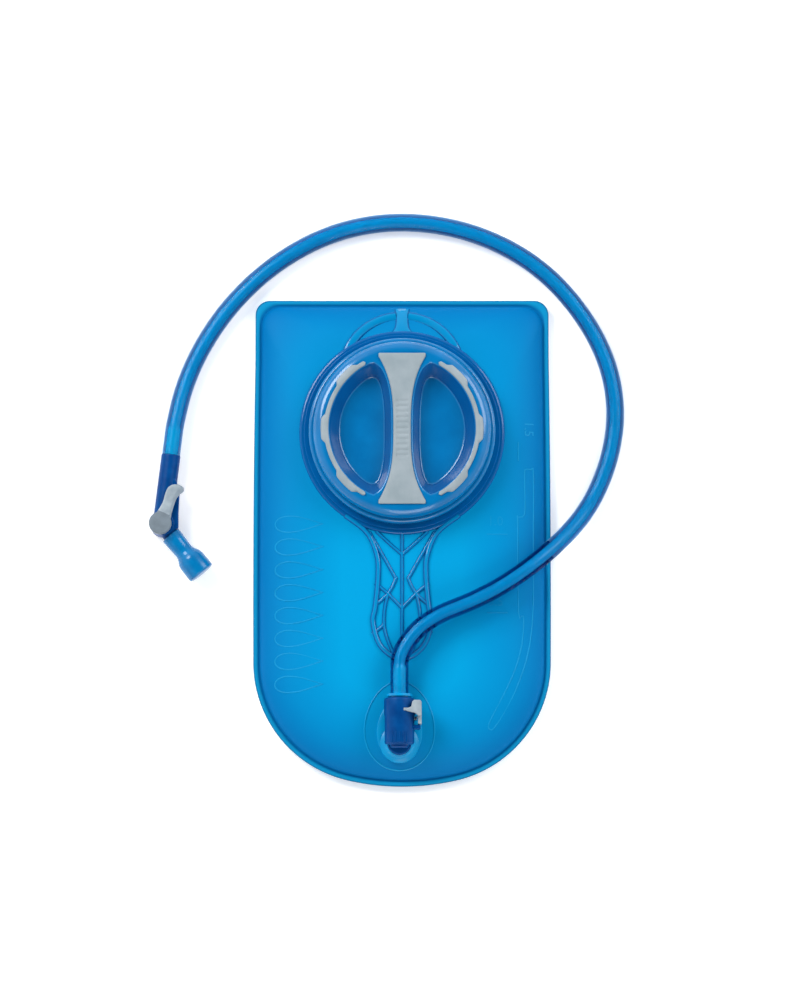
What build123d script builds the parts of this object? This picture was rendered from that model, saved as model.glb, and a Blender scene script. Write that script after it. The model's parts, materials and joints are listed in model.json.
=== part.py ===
from build123d import *
import math
import os

# Hydration bladder of about 1.5 litres, lying on its back with the filling cap up. Millimetres.
# X runs across the bag, +Y runs from its rounded bottom to its straight top edge, +Z is up.
# The origin is under the middle of the bag, on the surface that the bag lies on.

# Bag: two films welded together round their edge
bag_width = 172.0
bag_height = 286.0
top_corner_radius = 8.5
corner_softening = 0.8      # how fast the top corners round off as the film rises
lower_corner_radius = 70.0
bottom_radius = 141.0
seam_width = 4.0
seam_height = 5.0           # of the weld, above the surface under the bag
film_thickness = 0.6
front_rise = 14.0           # of the front film, above the weld
front_run = 26.0            # how far in from the weld the front film becomes level
back_run = 30.0
loft_steps = 5

# Fill port: soft moulding welded to the front film, and the hard threaded neck in it
port_y = 63.0
port_radius = 60.0
moulding_thickness = 1.6
neck_inner_radius = 43.0
neck_wall = 3.5
neck_height = 14.0          # above the front film
neck_depth = 3.0            # below the front film, inside the bag
neck_base_radius = 57.4
neck_base_thickness = 1.8
hanger_radius = 37.5        # outer edge of the band over the two hanging slots
hanger_band = 4.5
hanger_top = 72.5           # from the port's centre to the band's highest edge
stem_width = 9.0
handle_rim = 2.8
handle_rib = 2.2
handle_edge = [             # half width, and distance from the port's centre
    (34.0, -50.0), (21.8, -59.6), (16.3, -72.0), (15.5, -83.0), (17.0, -101.0),
    (18.5, -111.0), (15.0, -124.0), (7.5, -131.8), (0.0, -133.9),
]
handle_veins = [
    [(15.0, -58.0), (0, -71.5)],
    [(19.5, -60.0), (3.8, -85.1), (8.2, -94.5), (17.0, -102.0)],
    [(16.0, -88.5), (8.2, -94.5), (0, -103.0)],
    [(8.2, -94.5), (10.4, -114.5), (5.2, -128.5)],
    [(10.4, -114.5), (18.0, -119.0)],
]

# Thread of the cap: three starts, so that the cap comes off in less than a turn
thread_starts = 3
thread_lead = 15.0
thread_depth = 1.9
thread_root = 2.6
thread_crest = 1.4
thread_clearance = 0.9      # between a crest and the wall it faces
thread_bite = 0.3           # how deep a ridge is sunk into its own wall
thread_length = 5.7         # height that one ridge of the neck climbs
thread_top_gap = 2.0        # from a ridge's upper end to the neck's rim
lug_sweep = 24.0            # degrees that one lug of the cap covers
lug_lead_in = 60.0          # degrees from a ridge's lower end to the lug under it

# Cap
cap_radius = 54.5
cap_shoulder = 8.0
cap_gap = 0.8               # between the cap's skirt and the neck's base
cap_plate = 3.0
gasket_section = 2.7
gasket_gap = 0.15
pocket_rim_radius = 42.3
pocket_floor_radius = 36.4
pocket_depth = 11.0
pocket_wall = 2.0
bar_half_length = 44.2
bar_end_half_width = 13.7
bar_waist_half_width = 5.1
bar_flare = 9.9             # how much wider the bar's side curve is at its end than at its waist
bar_border = 1.2            # hard plastic left showing beside the soft bar
grip_inlay = 0.8
grip_proud = 1.2
arc_inner_radius = 42.9
arc_width = 2.4
arc_bump = 1.5
arc_half_angle = 60.0
arc_bumps = ((-10.0, 10.0), (31.0, 56.0), (-56.0, -31.0))

# Outlet: weld flange, coupling socket with its shut-off poppet, release button
outlet_x = -1.5
outlet_y = -119.0
outlet_flange_width = 41.0
outlet_flange_length = 52.0
outlet_flange_y = -109.0
outlet_flange_thickness = 0.8
outlet_pad_width = 25.4
outlet_pad_length = 38.0
outlet_pad_y = -110.5
outlet_pad_thickness = 1.8
stub_radius = 7.0
stub_bore_radius = 3.6
stub_depth = 4.5            # below the front film, inside the bag
socket_mouth_y = -93.0
socket_length = 30.0
socket_radius = 9.0
socket_body_radius = 8.6
socket_collar_length = 11.0
socket_tail_radius = 5.4
socket_tail_length = 2.0
socket_gap = 0.3            # between the socket and the pad under it
plug_bore_depth = 14.0
seat_thickness = 1.4
seat_radius = 3.4
chamber_radius = 4.8
chamber_floor = 1.4
poppet_radius = 4.2
poppet_head = 2.0
poppet_stem_radius = 1.4
poppet_opening = 2.4        # how far the plug holds the poppet off its seat
poppet_seal_section = 0.7
poppet_seal_radius = 3.8
button_travel = 1.4
button_gap = 0.2            # left under the pressed button
button_thickness = 2.2
button_length = 14.0
button_height = 11.0
button_corner = 1.8
button_y = -102.0
button_low_edge = 8.4       # of the prong under the plug, below the coupling's axis
hood_length = 7.0
hood_thickness = 1.6
hood_reach = 6.6            # X of the hood's free edge from the coupling's axis
prong_y = -100.7
prong_thickness = 1.6
prong_reach = 2.4           # X of the prongs' tips
prong_proud = 0.5
prong_clearance = 0.2
spring_pocket_radius = 1.7
spring_pocket_floor = 7.6
button_spring_y = -105.4
button_spring_radius = 1.3
button_spring_wire = 0.4
button_spring_turns = 3
poppet_spring_radius = 2.7
poppet_spring_wire = 0.6
poppet_spring_turns = 4

# Hose and the plug in its end
hose_diameter = 10.6
hose_bore = 7.2
hose_straight = 18.6        # of the hose before it enters the valve's sleeve
bend_share = 0.45           # of a run of the route that the bend at each of its ends may take
plug_radius = 5.9
plug_clearance = 0.2
plug_nose_gap = 0.8         # between the plug's nose and the bottom of its bore
plug_bore_radius = 2.5
plug_flange_radius = 7.4
plug_flange_thickness = 1.5
plug_flange_gap = 0.3
plug_groove_depth = 1.2
plug_groove_start = 2.4     # of the seal's groove, from the plug's nose
barb_clearance = 0.1
barb_length = 13.5
barb_teeth = 3
barb_bite = 0.5             # how far each tooth stands out of the barb
barb_land = 0.8             # from the start of each tooth to its step
seal_section = 1.1

# Shut-off valve and bite valve, lying beside the bag
valve_x = -140.2
valve_y = 10.2
valve_height = 8.5          # of the valve's two tube axes, above the surface
inlet_angle = 83.0          # direction from the valve to the hose, degrees from +X
outlet_angle = -50.8
sleeve_radius = 5.6
sleeve_length = 41.4
valve_bore_radius = 2.9
barrel_radius = 6.9
barrel_half_height = 6.6
barrel_floor = 1.2
spool_radius = 4.2
spool_clearance = 0.1
spigot_radius = 4.7
spigot_length = 27.0
fairing_half_height = 4.6
fairing_corner = 3.0
fairing_corners = [(-18.0, 10.0), (34.0, 11.5)]     # direction and distance from the valve's middle
fairing_shoulder = 22.0     # along the sleeve, where the fairing is widest
fairing_width = 7.6
fairing_end = 27.0
fairing_end_width = 4.5
lever_angle = 66.0
lever_gap = 0.3
lever_thickness = 3.2
lever_disc_radius = 6.6
lever_reach = 23.0
lever_neck_width = 7.0
lever_tip_width = 10.0
lever_edge = 0.8            # rounding of the head's upper edge
lever_corner = 2.4          # rounding of the tip's corners in plan
lever_neck_share = 0.6      # of the reach, up to where the paddle starts to widen
paddle_thickness = 2.4
lip_thickness = 1.6
lip_width = 5.2
lip_rise = 1.2
lip_inset = 1.4             # of the lip's middle, from the paddle's tip
spool_seal_section = 0.8
spool_seal_inset = 2.4      # of each seal, from the barrel's end
spool_seal_play = 0.1
spool_passage_radius = 2.7
bite_start = 8.0
bite_collar_radius = 5.95
bite_waist_radius = 5.45
bite_waist_end = 20.5
bite_head_start = 27.4
bite_head_radius = 8.2
bite_length = 37.2          # from the valve's middle to the tip
bite_wall = 1.9
bite_face = 2.4
bite_clearance = 0.05
bite_gap = 0.5              # between the bite valve and the body's fairing
bite_neck_rise = 0.6        # how far the waist widens over the first part of the shoulder
bite_neck_length = 2.2
bite_shoulder = 2.0
bite_edge = 0.8
slit_length = 9.0
slit_width = 0.4

# Places that follow from the sizes above
film_top = seam_height + front_rise
neck_outer_radius = neck_inner_radius + neck_wall
neck_top = film_top + neck_height
neck_base_top = film_top + moulding_thickness + neck_base_thickness
skirt_inner_radius = neck_outer_radius + thread_depth + thread_clearance
cap_underside = neck_top + gasket_section + 2 * gasket_gap
cap_top = cap_underside + cap_plate
cap_bottom = neck_base_top + cap_gap
port_centre = (0, port_y, 0)
socket_z = film_top + outlet_pad_thickness + socket_gap + socket_radius
socket_bore_radius = plug_radius + plug_clearance
plug_nose_y = socket_mouth_y - plug_bore_depth + plug_nose_gap
seat_under_y = socket_mouth_y - plug_bore_depth - seat_thickness
poppet_face_y = seat_under_y - poppet_opening - poppet_seal_section
hose_start_y = socket_mouth_y + plug_flange_gap + plug_flange_thickness
valve_centre = (valve_x, valve_y, valve_height)
hose_radius = hose_diameter / 2
barb_radius = hose_bore / 2 - barb_clearance
button_inner_x = socket_radius + button_travel + button_gap

# Route of the hose: straight out of the coupling, over the bag's right edge, then round on the surface
hose_route = [
    (outlet_x, hose_start_y, socket_z),
    (outlet_x, -68.0, socket_z),
    (13.5, -47.5, 29.4),
    (47.0, -34.5, 27.8),
    (73.0, -18.0, 24.8),
    (97.5, 4.5, 12.6),
    (112.5, 25.5, 6.4),
    (122.8, 52.5, 5.4),
    (125.9, 80.0, 5.4),
    (120.5, 108.0, 5.4),
    (106.0, 135.5, 5.4),
    (84.0, 160.5, 5.4),
    (56.5, 178.0, 5.4),
    (24.5, 188.3, 5.4),
    (-10.0, 190.3, 5.4),
    (-43.0, 183.0, 5.4),
    (-73.5, 166.3, 5.4),
    (-98.0, 144.0, 5.4),
    (-116.0, 118.8, 5.4),
    (-127.5, 93.5, 5.6),
]


def polar(angle, length=1.0):
    """A vector in the plane of the table."""
    return Vector(length * math.cos(math.radians(angle)), length * math.sin(math.radians(angle)), 0)


def turned(profile, origin, direction=(0, 0, 1)):
    """A solid turned about an axis, from (radius, distance along the axis) points."""
    edges = Polyline(*[(r, 0, s) for r, s in profile], close=True)
    solid = revolve(make_face(edges), axis=Axis.Z)
    return Plane(origin=origin, z_dir=direction) * solid


def rod(origin, direction, radius, length):
    """A round bar from a point, along a direction."""
    bar = Cylinder(radius, length, align=(Align.CENTER, Align.CENTER, Align.MIN))
    return Plane(origin=origin, z_dir=direction) * bar


def ring_seal(origin, direction, radius, section):
    return Plane(origin=origin, z_dir=direction) * Torus(radius, section / 2)


def coil_spring(origin, direction, radius, wire, length, turns):
    """A round-wire compression spring between two flat faces."""
    climb = length - wire
    helix = Helix(pitch=climb / turns, height=climb, radius=radius)
    section = Plane(origin=helix @ 0, z_dir=helix % 0) * Circle(wire / 2)
    return Plane(origin=origin, z_dir=direction) * Pos(0, 0, wire / 2) * sweep(section, path=helix)


# Bag

def bag_outline(inset, height):
    """The bag's outline, moved in from its edge, as a face at a height."""
    half_width = bag_width / 2 - inset
    top = bag_height / 2 - inset
    top_radius = top_corner_radius + corner_softening * inset
    corner_radius = lower_corner_radius - inset
    base_radius = bottom_radius - inset
    centre_x = half_width - corner_radius
    centre_span = base_radius - corner_radius
    corner_y = bottom_radius - bag_height / 2 - math.sqrt(centre_span**2 - centre_x**2)
    corner_turn = math.degrees(math.acos(centre_x / centre_span))
    top_line = Line((top_radius - half_width, top), (half_width - top_radius, top))
    top_right = JernArc(top_line @ 1, top_line % 1, top_radius, -90)
    right = Line(top_right @ 1, (half_width, corner_y))
    low_right = JernArc(right @ 1, right % 1, corner_radius, -corner_turn)
    base = JernArc(low_right @ 1, low_right % 1, base_radius, 2 * corner_turn - 180)
    low_left = JernArc(base @ 1, base % 1, corner_radius, -corner_turn)
    left = Line(low_left @ 1, (-half_width, top - top_radius))
    top_left = JernArc(left @ 1, left % 1, top_radius, -90)
    edges = [top_line, top_right, right, low_right, base, low_left, left, top_left]
    return Pos(0, 0, height) * make_face(edges)


def pillow(rise, run, grow=0.0):
    """The bag's bulge on one side of the weld as a solid. A negative rise is the lower side."""
    side = math.copysign(1, rise)
    sections = []
    for step in range(loft_steps + 1):
        turn = math.pi / 2 * step / loft_steps
        inset = seam_width - grow + run * (1 - math.cos(turn))
        sections.append(bag_outline(inset, seam_height + (rise + side * grow) * math.sin(turn)))
    return loft(sections)


front_pillow = pillow(front_rise, front_run)


def bag_film(rise, run):
    """One film: its half of the weld, and its bulge."""
    side = math.copysign(1, rise)
    weld = extrude(bag_outline(0, seam_height), amount=side * film_thickness)
    return weld + pillow(rise, run) - pillow(rise, run, -film_thickness)


def standing(plan):
    """A column of that plan, from the weld to well above the front film."""
    return extrude(Pos(0, 0, seam_height) * plan, amount=2 * front_rise)


def draped(column, thickness):
    """A soft sheet of the column's plan lying on the front film."""
    return column & (pillow(front_rise, front_run, thickness) - front_pillow)


def front_film():
    neck_hole = rod(port_centre, (0, 0, 1), neck_outer_radius, 2 * film_top)
    stub_hole = rod((outlet_x, outlet_y, 0), (0, 0, 1), stub_radius, 2 * film_top)
    return bag_film(front_rise, front_run) - neck_hole - stub_hole


def back_film():
    return bag_film(-seam_height, back_run)


# Fill port

def handle_outline(inset=0.0):
    """The handle's edge, moved in by a distance: it leaves the port's rim, narrows and ends round."""
    edge = Spline(*[(x, port_y + y) for x, y in handle_edge], tangents=[(-1, -0.75), (-1, 0)])
    steps = 16
    points = []
    for step in range(steps + 1):
        along = edge % (step / steps)
        points.append(edge @ (step / steps) + Vector(along.Y, -along.X) * inset)
    right = Spline(*points)
    left = mirror(right, about=Plane.YZ)
    return make_face([right, left, Line(left @ 0, right @ 0)])


def handle_lattice():
    """The handle's rim, its spine, and the veins that branch from it, as a standing column."""
    outer = standing(handle_outline())
    lattice = outer - standing(handle_outline(handle_rim))
    tip_y = handle_edge[-1][1]
    lines = [[(0, -port_radius + 2), (0, tip_y + handle_rim / 2)]] + handle_veins
    lines += [[(-x, y) for x, y in vein] for vein in handle_veins]
    for line in lines:
        rib = trace(Polyline(*[(x, port_y + y) for x, y in line]), line_width=handle_rib)
        lattice += outer & standing(rib)
    return lattice


def port_moulding():
    """Soft ring round the port, with the hanging loops above it and the lattice handle below it."""
    ring = standing(Pos(0, port_y) * Circle(port_radius))
    band_plan = Circle(hanger_radius) - Circle(hanger_radius - hanger_band)
    band = standing(Pos(0, port_y + hanger_top - hanger_radius) * band_plan)
    stem = standing(Pos(0, port_y + hanger_top / 2) * Rectangle(stem_width, hanger_top - 1))
    hole = standing(Pos(0, port_y) * Circle(neck_outer_radius))
    return draped(ring + band + stem + handle_lattice() - hole, moulding_thickness)


def helical_ridge(radius, side, start_angle, sweep_angle, start_z):
    """One thread ridge. side is 1 outwards from a neck, and -1 inwards from a skirt."""
    helix = Helix(pitch=thread_lead, height=thread_lead * sweep_angle / 360, radius=radius)
    root, crest = thread_root / 2, thread_crest / 2
    section = Polyline(
        (-side * thread_bite, -root), (side * thread_depth, -crest),
        (side * thread_depth, crest), (-side * thread_bite, root), close=True,
    )
    profile = Plane(origin=helix @ 0, x_dir=(1, 0, 0), z_dir=helix % 0) * make_face(section)
    ridge = sweep(profile, path=helix, is_frenet=True)
    return Pos(0, port_y, start_z) * Rot(0, 0, start_angle) * ridge


thread_start_z = neck_top - thread_top_gap - thread_length
thread_pitch = thread_lead / thread_starts


def fill_port_neck():
    """Hard neck: tube through the film, base on the soft moulding, and the thread."""
    bottom = film_top - neck_depth
    tube = rod((0, port_y, bottom), (0, 0, 1), neck_outer_radius, neck_top - bottom)
    base_height = neck_base_top - film_top + front_rise / 2
    base = rod((0, port_y, neck_base_top - base_height), (0, 0, 1), neck_base_radius, base_height)
    base -= pillow(front_rise, front_run, moulding_thickness)
    neck = tube + base
    for start in range(thread_starts):
        neck += helical_ridge(
            neck_outer_radius, 1, start * 360 / thread_starts,
            360 * thread_length / thread_lead, thread_start_z,
        )
    return neck - rod((0, port_y, bottom), (0, 0, 1), neck_inner_radius, neck_top)


# Cap

def bar_outline(border=0.0):
    """The grip bar's plan: a narrow waist that flares to both ends."""
    points = []
    for step in range(13):
        y = bar_half_length * (1 - step / 6)
        flare = bar_flare * abs(y / bar_half_length) ** 3
        points.append((min(bar_waist_half_width + flare, bar_end_half_width) + border, y))
    right = Spline(*points)
    left = mirror(right, about=Plane.YZ)
    return make_face([right, Line(right @ 1, left @ 1), left, Line(left @ 0, right @ 0)])


def ring_sector(inner, outer, start, end):
    far = CenterArc((0, 0), outer, start, end - start)
    near = CenterArc((0, 0), inner, start, end - start)
    return make_face([far, Line(far @ 1, near @ 1), near, Line(near @ 0, far @ 0)])


def cap_grip_bar():
    return Pos(0, port_y, cap_top - grip_inlay) * extrude(bar_outline(), amount=grip_inlay + grip_proud)


def cap_grip_arc(facing):
    """A soft grip arc with three finger bumps, on the side of the cap that faces that angle."""
    outer = arc_inner_radius + arc_width
    plan = ring_sector(arc_inner_radius, outer, -arc_half_angle, arc_half_angle)
    for start, end in arc_bumps:
        plan += ring_sector(arc_inner_radius, outer + arc_bump, start, end)
    plan = Pos(0, port_y, cap_top - grip_inlay) * Rot(0, 0, facing) * plan
    return extrude(plan, amount=grip_inlay + grip_proud)


def cap_shell(grips):
    """Hard cap: threaded skirt, round shoulder, and a dish with the grip bar across it."""
    floor = cap_top - pocket_depth
    under = floor - pocket_wall
    shoulder = CenterArc((cap_radius - cap_shoulder, cap_top - cap_shoulder), cap_shoulder, 0, 90)
    inside = Polyline(
        shoulder @ 1, (pocket_rim_radius, cap_top), (pocket_floor_radius, floor), (0, floor),
        (0, under), (pocket_floor_radius + pocket_wall / 3, under),
        (pocket_rim_radius - pocket_wall / 3, cap_underside), (skirt_inner_radius, cap_underside),
        (skirt_inner_radius, cap_bottom), (cap_radius, cap_bottom), shoulder @ 0,
    )
    section = Plane.XZ * make_face([shoulder, inside])
    shell = Pos(0, port_y, 0) * revolve(section, axis=Axis.Z)
    web = extrude(Pos(0, port_y, under) * bar_outline(bar_border), amount=cap_top - under)
    dish = rod((0, port_y, under), (0, 0, 1), pocket_rim_radius, cap_top - under)
    shell += web & dish
    lug_z = thread_start_z - thread_pitch / 2 + thread_lead * lug_lead_in / 360
    for start in range(thread_starts):
        angle = start * 360 / thread_starts + lug_lead_in
        shell += helical_ridge(skirt_inner_radius, -1, angle, lug_sweep, lug_z)
    for grip in grips:
        shell -= grip
    return shell


def cap_gasket():
    middle = neck_inner_radius + neck_wall / 2
    centre = (0, port_y, neck_top + gasket_gap + gasket_section / 2)
    return ring_seal(centre, (0, 0, 1), middle, gasket_section)


# Outlet coupling

def outlet_flange():
    """Soft oval flange welded to the film round the outlet, thicker in the middle."""
    outer = Pos(outlet_x, outlet_flange_y) * RectangleRounded(
        outlet_flange_width, outlet_flange_length, outlet_flange_width / 2 - 0.5
    )
    pad = Pos(outlet_x, outlet_pad_y) * RectangleRounded(
        outlet_pad_width, outlet_pad_length, outlet_pad_width / 2 - 0.5
    )
    moulding = draped(standing(outer), outlet_flange_thickness)
    moulding += draped(standing(pad), outlet_pad_thickness)
    return moulding - rod((outlet_x, outlet_y, 0), (0, 0, 1), stub_radius, 2 * film_top)


def along_socket(start_y, radius, length):
    """A round bar on the coupling's axis."""
    return rod((outlet_x, start_y, socket_z), (0, 1, 0), radius, length)


def coupling_socket():
    """Hard elbow: stub through the film, body along the bag, bore for the hose's plug."""
    tail_y = socket_mouth_y - socket_length
    body = along_socket(tail_y, socket_body_radius, socket_length)
    collar = along_socket(socket_mouth_y - socket_collar_length, socket_radius, socket_collar_length)
    tail = along_socket(tail_y - socket_tail_length, socket_tail_radius, socket_tail_length + 1)
    stub_bottom = film_top - stub_depth
    stub = rod((outlet_x, outlet_y, stub_bottom), (0, 0, 1), stub_radius, socket_z - stub_bottom)
    bore_bottom = socket_mouth_y - plug_bore_depth
    chamber_bottom = tail_y + chamber_floor
    plug_bore = along_socket(bore_bottom, socket_bore_radius, plug_bore_depth)
    seat_bore = along_socket(seat_under_y, seat_radius, seat_thickness)
    chamber = along_socket(chamber_bottom, chamber_radius, seat_under_y - chamber_bottom)
    stub_bore = rod((outlet_x, outlet_y, stub_bottom), (0, 0, 1), stub_bore_radius, socket_z - stub_bottom)
    pocket_start = (outlet_x + spring_pocket_floor, button_spring_y, socket_z)
    spring_pocket = rod(pocket_start, (1, 0, 0), spring_pocket_radius, socket_radius)
    slot_width = prong_thickness + 2 * prong_clearance
    slot_start = outlet_x + prong_reach - button_travel - prong_clearance
    slot = Pos(slot_start + socket_radius, prong_y, socket_z) * Box(
        2 * socket_radius, slot_width, 2 * socket_radius + 1
    )
    core = along_socket(prong_y - slot_width, socket_bore_radius, 2 * slot_width)
    bridge = Pos(slot_start + socket_radius, prong_y, socket_z) * Box(
        2 * socket_radius, slot_width, socket_radius
    )
    socket = body + collar + tail + stub
    return socket - plug_bore - seat_bore - chamber - stub_bore - spring_pocket - (slot - core - bridge)


def release_button():
    """Thumb pad beside the socket, a hood over the collar, and two prongs that straddle the plug."""
    outer_x = outlet_x + button_inner_x + button_thickness
    front_y = button_y + button_length / 2
    hood_top = socket_radius + prong_proud
    pad = Box(button_thickness, button_length, button_height, align=(Align.MAX, Align.MAX, Align.CENTER))
    pad = Pos(outer_x, front_y, socket_z) * fillet(pad.edges().filter_by(Axis.X), button_corner)
    cheek = Box(button_thickness, hood_length, hood_top, align=(Align.MAX, Align.MAX, Align.MIN))
    hood_width = button_inner_x + button_thickness - hood_reach
    hood = Box(hood_width, hood_length, hood_thickness, align=(Align.MAX, Align.MAX, Align.MAX))
    hood = Pos(0, 0, hood_top) * hood
    top = cheek + hood
    top = fillet(top.edges().filter_by(Axis.Y).group_by(Axis.X)[-1].sort_by(Axis.Z)[-1], button_corner)
    button = pad + Pos(outer_x, front_y, socket_z) * top
    inner = socket_bore_radius + prong_clearance
    prong_length = button_inner_x + 1 - prong_reach
    for height, side in ((hood_top - inner, 1), (button_low_edge - inner, -1)):
        prong = Box(prong_length, prong_thickness, height, align=(Align.MIN, Align.CENTER, Align.CENTER))
        button += Pos(outlet_x + prong_reach, prong_y, socket_z + side * (inner + height / 2)) * prong
    neck = Box(1, prong_thickness, button_low_edge, align=(Align.MIN, Align.CENTER, Align.MAX))
    return button + Pos(outlet_x + button_inner_x, prong_y, socket_z) * neck


def button_spring():
    start = (outlet_x + spring_pocket_floor, button_spring_y, socket_z)
    length = button_inner_x - spring_pocket_floor
    return coil_spring(start, (1, 0, 0), button_spring_radius, button_spring_wire, length, button_spring_turns)


def shutoff_poppet():
    """Disc that closes the seat when the plug is gone, with the stem that the plug pushes."""
    stem_length = plug_nose_y - plug_clearance - poppet_face_y
    return turned(
        [(0, -poppet_head), (poppet_radius, -poppet_head), (poppet_radius, 0),
         (poppet_stem_radius, 0), (poppet_stem_radius, stem_length), (0, stem_length)],
        (outlet_x, poppet_face_y, socket_z), (0, 1, 0),
    )


def poppet_seal():
    centre = (outlet_x, poppet_face_y + poppet_seal_section / 2, socket_z)
    return ring_seal(centre, (0, 1, 0), poppet_seal_radius, poppet_seal_section)


def poppet_spring():
    start = (outlet_x, socket_mouth_y - socket_length + chamber_floor, socket_z)
    length = poppet_face_y - poppet_head - start[1]
    return coil_spring(start, (0, 1, 0), poppet_spring_radius, poppet_spring_wire, length, poppet_spring_turns)


# Hose

def hose_plug():
    """Plug on the hose's end: nose with a seal groove and a latch groove, flange, toothed barb."""
    nose = socket_mouth_y - plug_nose_y
    seal_end = plug_groove_start + 2 * seal_section
    latch_start = prong_y - prong_thickness / 2 - plug_nose_y
    latch_end = latch_start + prong_thickness
    groove = plug_radius - plug_groove_depth
    flange_start = nose + plug_flange_gap
    flange_end = flange_start + plug_flange_thickness
    barb = []
    for tooth in range(barb_teeth):
        start = flange_end + tooth * barb_length / barb_teeth
        barb += [(barb_radius - barb_bite, start + barb_land), (barb_radius, start + barb_land)]
        barb += [(barb_radius - barb_bite, start + barb_length / barb_teeth)]
    return turned(
        [(plug_bore_radius, 0), (plug_radius, 0),
         (plug_radius, plug_groove_start), (groove, plug_groove_start),
         (groove, seal_end), (plug_radius, seal_end),
         (plug_radius, latch_start), (groove, latch_start), (groove, latch_end),
         (plug_radius, latch_end), (plug_radius, flange_start), (plug_flange_radius, flange_start),
         (plug_flange_radius, flange_end), (barb_radius - barb_bite, flange_end)] + barb
        + [(plug_bore_radius, flange_end + barb_length)],
        (outlet_x, plug_nose_y, socket_z), (0, 1, 0),
    )


def plug_seal():
    centre = (outlet_x, plug_nose_y + plug_groove_start + seal_section, socket_z)
    radius = plug_radius - plug_groove_depth + seal_section / 2
    return ring_seal(centre, (0, 1, 0), radius, seal_section)


def whole_route():
    """The hose's route with its last two points, which run straight into the valve's sleeve."""
    end = Vector(valve_centre) + polar(inlet_angle, sleeve_length)
    return [Vector(p) for p in hose_route] + [end + polar(inlet_angle, hose_straight), end]


def route_radii(points):
    """The bend radius at each inner point: as large as the two runs beside it allow."""
    radii = []
    for before, here, after in zip(points, points[1:], points[2:]):
        run_in, run_out = here - before, after - here
        half_turn = math.radians(run_in.get_angle(run_out)) / 2
        radii.append(bend_share * min(run_in.length, run_out.length) / math.tan(half_turn))
    return radii


def drinking_hose():
    points = whole_route()
    radii = route_radii(points)
    path = FilletPolyline(*points, radius=radii)
    section = Plane(origin=path @ 0, z_dir=path % 0) * (Circle(hose_radius) - Circle(hose_bore / 2))
    hose = sweep(section, path=path)
    expected = math.pi * (hose_radius**2 - (hose_bore / 2) ** 2) * path.length
    print("hose length", round(path.length, 1), "mm, bend radii", [round(r) for r in radii])
    print("hose volume over section times length:", round(hose.volume / expected, 4))
    return hose


# Shut-off valve and bite valve

def valve_body():
    """Hard elbow: barb and sleeve for the hose, upright barrel, spigot for the bite valve."""
    inlet, outlet = polar(inlet_angle), polar(outlet_angle)
    barrel_bottom = valve_height - barrel_half_height
    barrel = rod((valve_x, valve_y, barrel_bottom), (0, 0, 1), barrel_radius, 2 * barrel_half_height)
    sleeve = rod(valve_centre, inlet, sleeve_radius, sleeve_length)
    barb = rod(valve_centre, inlet, barb_radius, sleeve_length + barb_length)
    spigot = rod(valve_centre, outlet, spigot_radius, spigot_length)
    centre = Vector(valve_x, valve_y, valve_height - fairing_half_height)
    corner_side = polar(inlet_angle - 90)
    fairing_plan = Polyline(
        centre, centre + outlet * (bite_start - bite_gap),
        *[centre + polar(angle, length) for angle, length in fairing_corners],
        centre + inlet * fairing_shoulder + corner_side * fairing_width,
        centre + inlet * fairing_end + corner_side * fairing_end_width,
        centre + inlet * fairing_end, close=True,
    )
    fairing = extrude(make_face(fairing_plan), amount=2 * fairing_half_height)
    fairing = fillet(fairing.edges().filter_by(Axis.Z).sort_by(Axis.X)[-3:], fairing_corner)
    bite_room_start = Vector(valve_centre) + outlet * (bite_start - bite_gap)
    bite_room = rod(bite_room_start, outlet, bite_collar_radius + bite_gap, barrel_radius)
    body = barrel + sleeve + barb + spigot + (fairing - bite_room)
    barrel_bore = rod(
        (valve_x, valve_y, barrel_bottom + barrel_floor), (0, 0, 1),
        spool_radius + spool_clearance, 2 * barrel_half_height,
    )
    inlet_bore = rod(valve_centre, inlet, valve_bore_radius, sleeve_length + barb_length)
    outlet_bore = rod(valve_centre, outlet, valve_bore_radius, spigot_length)
    return body - barrel_bore - inlet_bore - outlet_bore


def spool_seal_heights():
    spread = barrel_half_height - spool_seal_inset
    return [valve_height - spread, valve_height + spread]


def valve_spool():
    """Turning plug in the barrel, with a bent passage that lines up when the valve is open."""
    bottom = valve_height - barrel_half_height + barrel_floor + spool_clearance
    top = valve_height + barrel_half_height + lever_gap
    spool = rod((valve_x, valve_y, bottom), (0, 0, 1), spool_radius, top - bottom)
    for angle in (inlet_angle, outlet_angle):
        spool -= rod(valve_centre, polar(angle), spool_passage_radius, 2 * spool_radius)
    for height in spool_seal_heights():
        groove_height = spool_seal_section + spool_seal_play
        start = (valve_x, valve_y, height - groove_height / 2)
        groove = rod(start, (0, 0, 1), spool_radius + 1, groove_height)
        spool -= groove - rod(start, (0, 0, 1), spool_radius - spool_seal_section, groove_height)
    return spool


def spool_seals():
    radius = spool_radius - spool_seal_section / 2
    seals = [
        ring_seal((valve_x, valve_y, height), (0, 0, 1), radius, spool_seal_section)
        for height in spool_seal_heights()
    ]
    return Compound(seals)


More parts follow.
